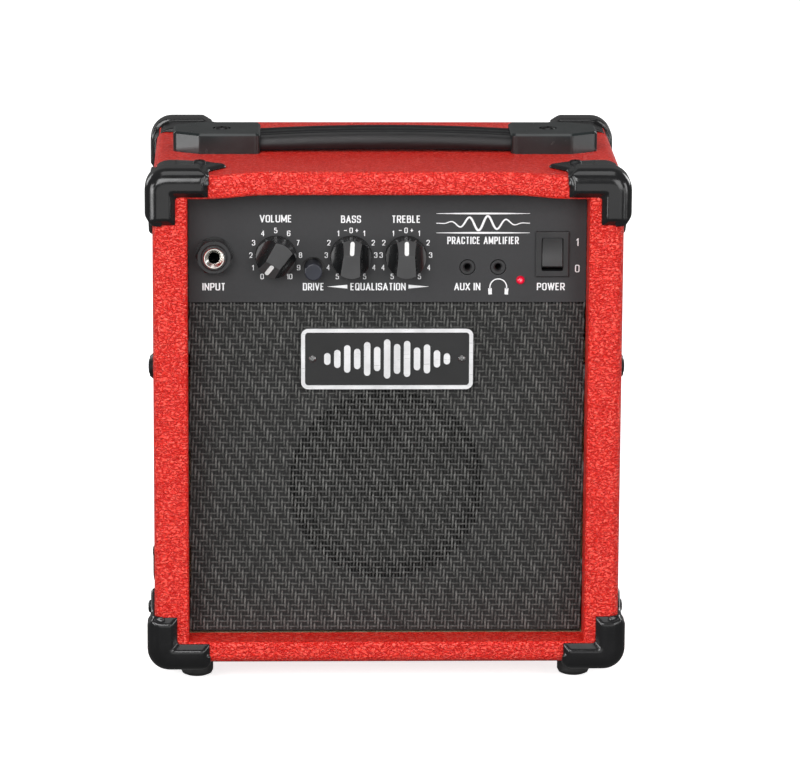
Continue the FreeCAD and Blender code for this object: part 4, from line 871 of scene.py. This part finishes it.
# ---------------------------------------------------------------- grille cloth
COLUMN = 0.001905         # spacing of the upright warp yarns
ROW = 0.00317             # spacing of the level weft yarns
LEAN = 0.034              # how far the warp runs to the left as it goes down
WARP_W = 0.00105
WEFT_W = 0.00100
WARP_STEPS = 3            # samples of a yarn for each crossing
WEFT_STEPS = 2
DEPTH = 0.00034           # how far a yarn dives from its float to its lowest point
YARN_ROUND = 0.00022      # how far a yarn's edges lie behind its middle
REPEAT = 4                # crossings after which the weave repeats: two over, two under
PHASE = 1.35              # where the repeat starts
# A warp yarn's rise over one repeat: places along it and heights from 0 to 1.
FLOAT_SHAPE = ((0.0, 0.0), (0.7, 1.0), (2.0, 0.7), (2.7, 0.0), (4.0, 0.0))
WEFT_RISE = 0.85          # height of a weft yarn where no warp yarn is over it
EDGE_SHARE = 0.8          # a yarn's least width, and the height of its edges, as shares
WIDTH_GAIN = 0.2          # the share of its width that a yarn gains as it rises
WARP_WOBBLE = 0.00007     # how far yarns stray from their lines
WEFT_WOBBLE = 0.00006


def wobble(first, second, amount):
    """A small, repeatable unevenness."""
    return amount * math.sin(first * 12.9898 + second * 78.233 + math.sin(first * 3.7 - second * 1.3) * 2.0)


def warp_height(column, row):
    """How far forward a warp yarn lies, 0 to 1, at a row counted downwards."""
    place = (row - column + PHASE) % REPEAT
    for (start, low), (end, high) in zip(FLOAT_SHAPE, FLOAT_SHAPE[1:]):
        if place <= end:
            share = (place - start) / (end - start)
            return low + (high - low) * (0.5 - 0.5 * math.cos(math.pi * share))
    return 0.0


class Weave:
    """The points and faces of all the yarns, with how high each point lies and which way its yarn runs."""

    def __init__(self):
        """Starts with no yarn."""
        self.points = []
        self.faces = []
        self.height = []
        self.warp = []

    def add_yarn(self, line, width, across, warp):
        """One yarn, three points abreast: line holds a place and a level from 0, sunk, to 1."""
        start = len(self.points)
        for place, level in line:
            reach = across * (width / 2 * (EDGE_SHARE + WIDTH_GAIN * level))
            edge = Vector((0, YARN_ROUND, 0))
            self.points += [place - reach + edge, place, place + reach + edge]
            self.height += [level * EDGE_SHARE, level, level * EDGE_SHARE]
            self.warp += [warp] * 3
        for step in range(len(line) - 1):
            base = start + step * 3
            self.faces += [(base, base + 1, base + 4, base + 3), (base + 1, base + 2, base + 5, base + 4)]


def make_grille(cloth):
    """The woven cloth, yarn by yarn: warp over and under weft, with open gaps between."""
    low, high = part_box("grille_cloth")
    rows = round((high.z - low.z) / ROW)
    columns = math.ceil((high.x - low.x + LEAN * (high.z - low.z)) / COLUMN)
    weave = Weave()

    def spot(column, row, level, shift_x=0.0, shift_z=0.0):
        """Where a yarn passes a column and a row, both counted from the top left."""
        z = high.z - row * ROW + shift_z
        x = low.x + (column + 0.5) * COLUMN - LEAN * (high.z - z) + shift_x
        return Vector((x, low.y + DEPTH * (1 - level), z)), level

    for column in range(columns):
        line = []
        for step in range(rows * WARP_STEPS + 1):
            row = step / WARP_STEPS
            shift = wobble(column, row, WARP_WOBBLE)
            line.append(spot(column, row, warp_height(column, row), shift_x=shift))
        line = [(place, level) for place, level in line if low.x < place.x < high.x and place.z >= low.z]
        weave.add_yarn(line, WARP_W, Vector((1, 0, 0)), 1.0)
    for row in range(rows):
        line = []
        for step in range(columns * WEFT_STEPS + 1):
            column = step / WEFT_STEPS
            beside = [warp_height(side, row + 0.5) for side in (math.floor(column), math.ceil(column))]
            level = WEFT_RISE * (1 - sum(beside) / 2)
            line.append(spot(column, row + 0.5, level, shift_z=wobble(row, column, WEFT_WOBBLE)))
        line = [(place, level) for place, level in line if low.x < place.x < high.x]
        weave.add_yarn(line, WEFT_W, Vector((0, 0, -1)), 0.0)
    sheet = mesh_piece("grille_weave", weave.points, weave.faces, cloth)
    for name, values in (("height", weave.height), ("warp", weave.warp)):
        layer = sheet.data.attributes.new(name, "FLOAT", "POINT")
        layer.data.foreach_set("value", values)
    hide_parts("grille_cloth")


# ---------------------------------------------------------------- strap
STRAP_STEPS = 40
RIBS = 3
GROOVE = 0.0015           # depth of the grooves between the ribs
RIB_ROUND = 2.4           # how square the ribs are; 2 would be round
STRAP_HALF = 0.0140       # half of the strap's width
STRAP_LOW = 0.0019        # height of the underside above the cabinet, in the strap's middle
STRAP_HIGH = 0.0116       # height of the ribs there
LOW_DROP = 0.0012         # how much lower the underside is at the far ends
HIGH_DROP = 0.0024        # how much lower the ribs are there
RIB_POINTS = 72           # steps across the ribbed side of the section
UNDER_POINTS = 12         # steps across the underside


def strap_section(share):
    """The strap's cross-section in y and z at a share of the way from the middle (0) to a cap (1)."""
    low = STRAP_LOW - LOW_DROP * share ** 2
    high = STRAP_HIGH - HIGH_DROP * share ** 2
    points = []
    for i in range(RIB_POINTS + 1):
        across = i / RIB_POINTS
        local = across * RIBS % 1
        rib = (1 - abs(2 * local - 1) ** RIB_ROUND) ** 0.5
        side = min(across, 1 - across) < 0.5 / RIBS
        z = low + (high - low) * rib if side else high - GROOVE * (1 - rib)
        points.append((STRAP_HALF * (1 - 2 * across), z))
    points += [(STRAP_HALF * (2 * i / UNDER_POINTS - 1), low) for i in range(1, UNDER_POINTS)]
    return points


def make_strap(rubber):
    """Three lengths of ribbed strap; the middle one rides on the handle grip as it lifts."""
    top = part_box("handle_cap_left")[0].z
    far = -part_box("strap_left")[0].x
    grip = (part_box("strap_grip")[1].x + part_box("strap_right")[0].x) / 2
    spans = {"strap_left_ribbed": (-far, -grip), "strap_grip_ribbed": (-grip, grip),
             "strap_right_ribbed": (grip, far)}
    for name, (start, end) in spans.items():
        points = []
        for step in range(STRAP_STEPS + 1):
            x = start + (end - start) * step / STRAP_STEPS
            points += [(x, y, top + z) for y, z in strap_section(min(1.0, abs(x) / far))]
        ring = len(points) // (STRAP_STEPS + 1)
        faces = []
        for step in range(STRAP_STEPS):
            base = step * ring
            faces += [(base + i, base + (i + 1) % ring, base + ring + (i + 1) % ring, base + ring + i)
                      for i in range(ring)]
        node = name.replace("_ribbed", "")
        body = "handle_grip" if node == "strap_grip" else None
        piece = mesh_piece(name, points, faces, rubber, body)
        if body is None:
            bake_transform(piece)
        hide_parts(node)


# ---------------------------------------------------------------- corner covers
SOFTEN_VOXEL = 0.00065    # grid of the even mesh that the smoothing works on
SOFTEN_FACTOR = 0.5
SOFTEN_ROUNDS = 7


def soften_corners():
    """Rounds the covers' moulded edges over."""
    for level in ("front_top", "front_bottom", "rear_top", "rear_bottom"):
        cover = nodes["corners_" + level]
        even = cover.modifiers.new("even", "REMESH")
        even.mode = "VOXEL"
        even.voxel_size = SOFTEN_VOXEL
        even.use_smooth_shade = True
        soft = cover.modifiers.new("soft", "SMOOTH")
        soft.factor = SOFTEN_FACTOR
        soft.iterations = SOFTEN_ROUNDS


# ---------------------------------------------------------------- build
make_camera()
make_studio()
finish_nodes()
ink = painted("white_ink", (0.93, 0.93, 0.94), 0.4, 0.00001)
silver = metal("brushed_silver", (0.88, 0.88, 0.89), 0.34, 0.00002, (0.05, 1.0, 1.0), metallic=0.35)
make_panel_print(ink)
make_badge(silver)
make_pointers(painted("pointer_white", (0.86, 0.86, 0.85), 0.25, 0.00001))
make_grille(grille_fabric())
make_strap(ribbed_rubber())
soften_corners()
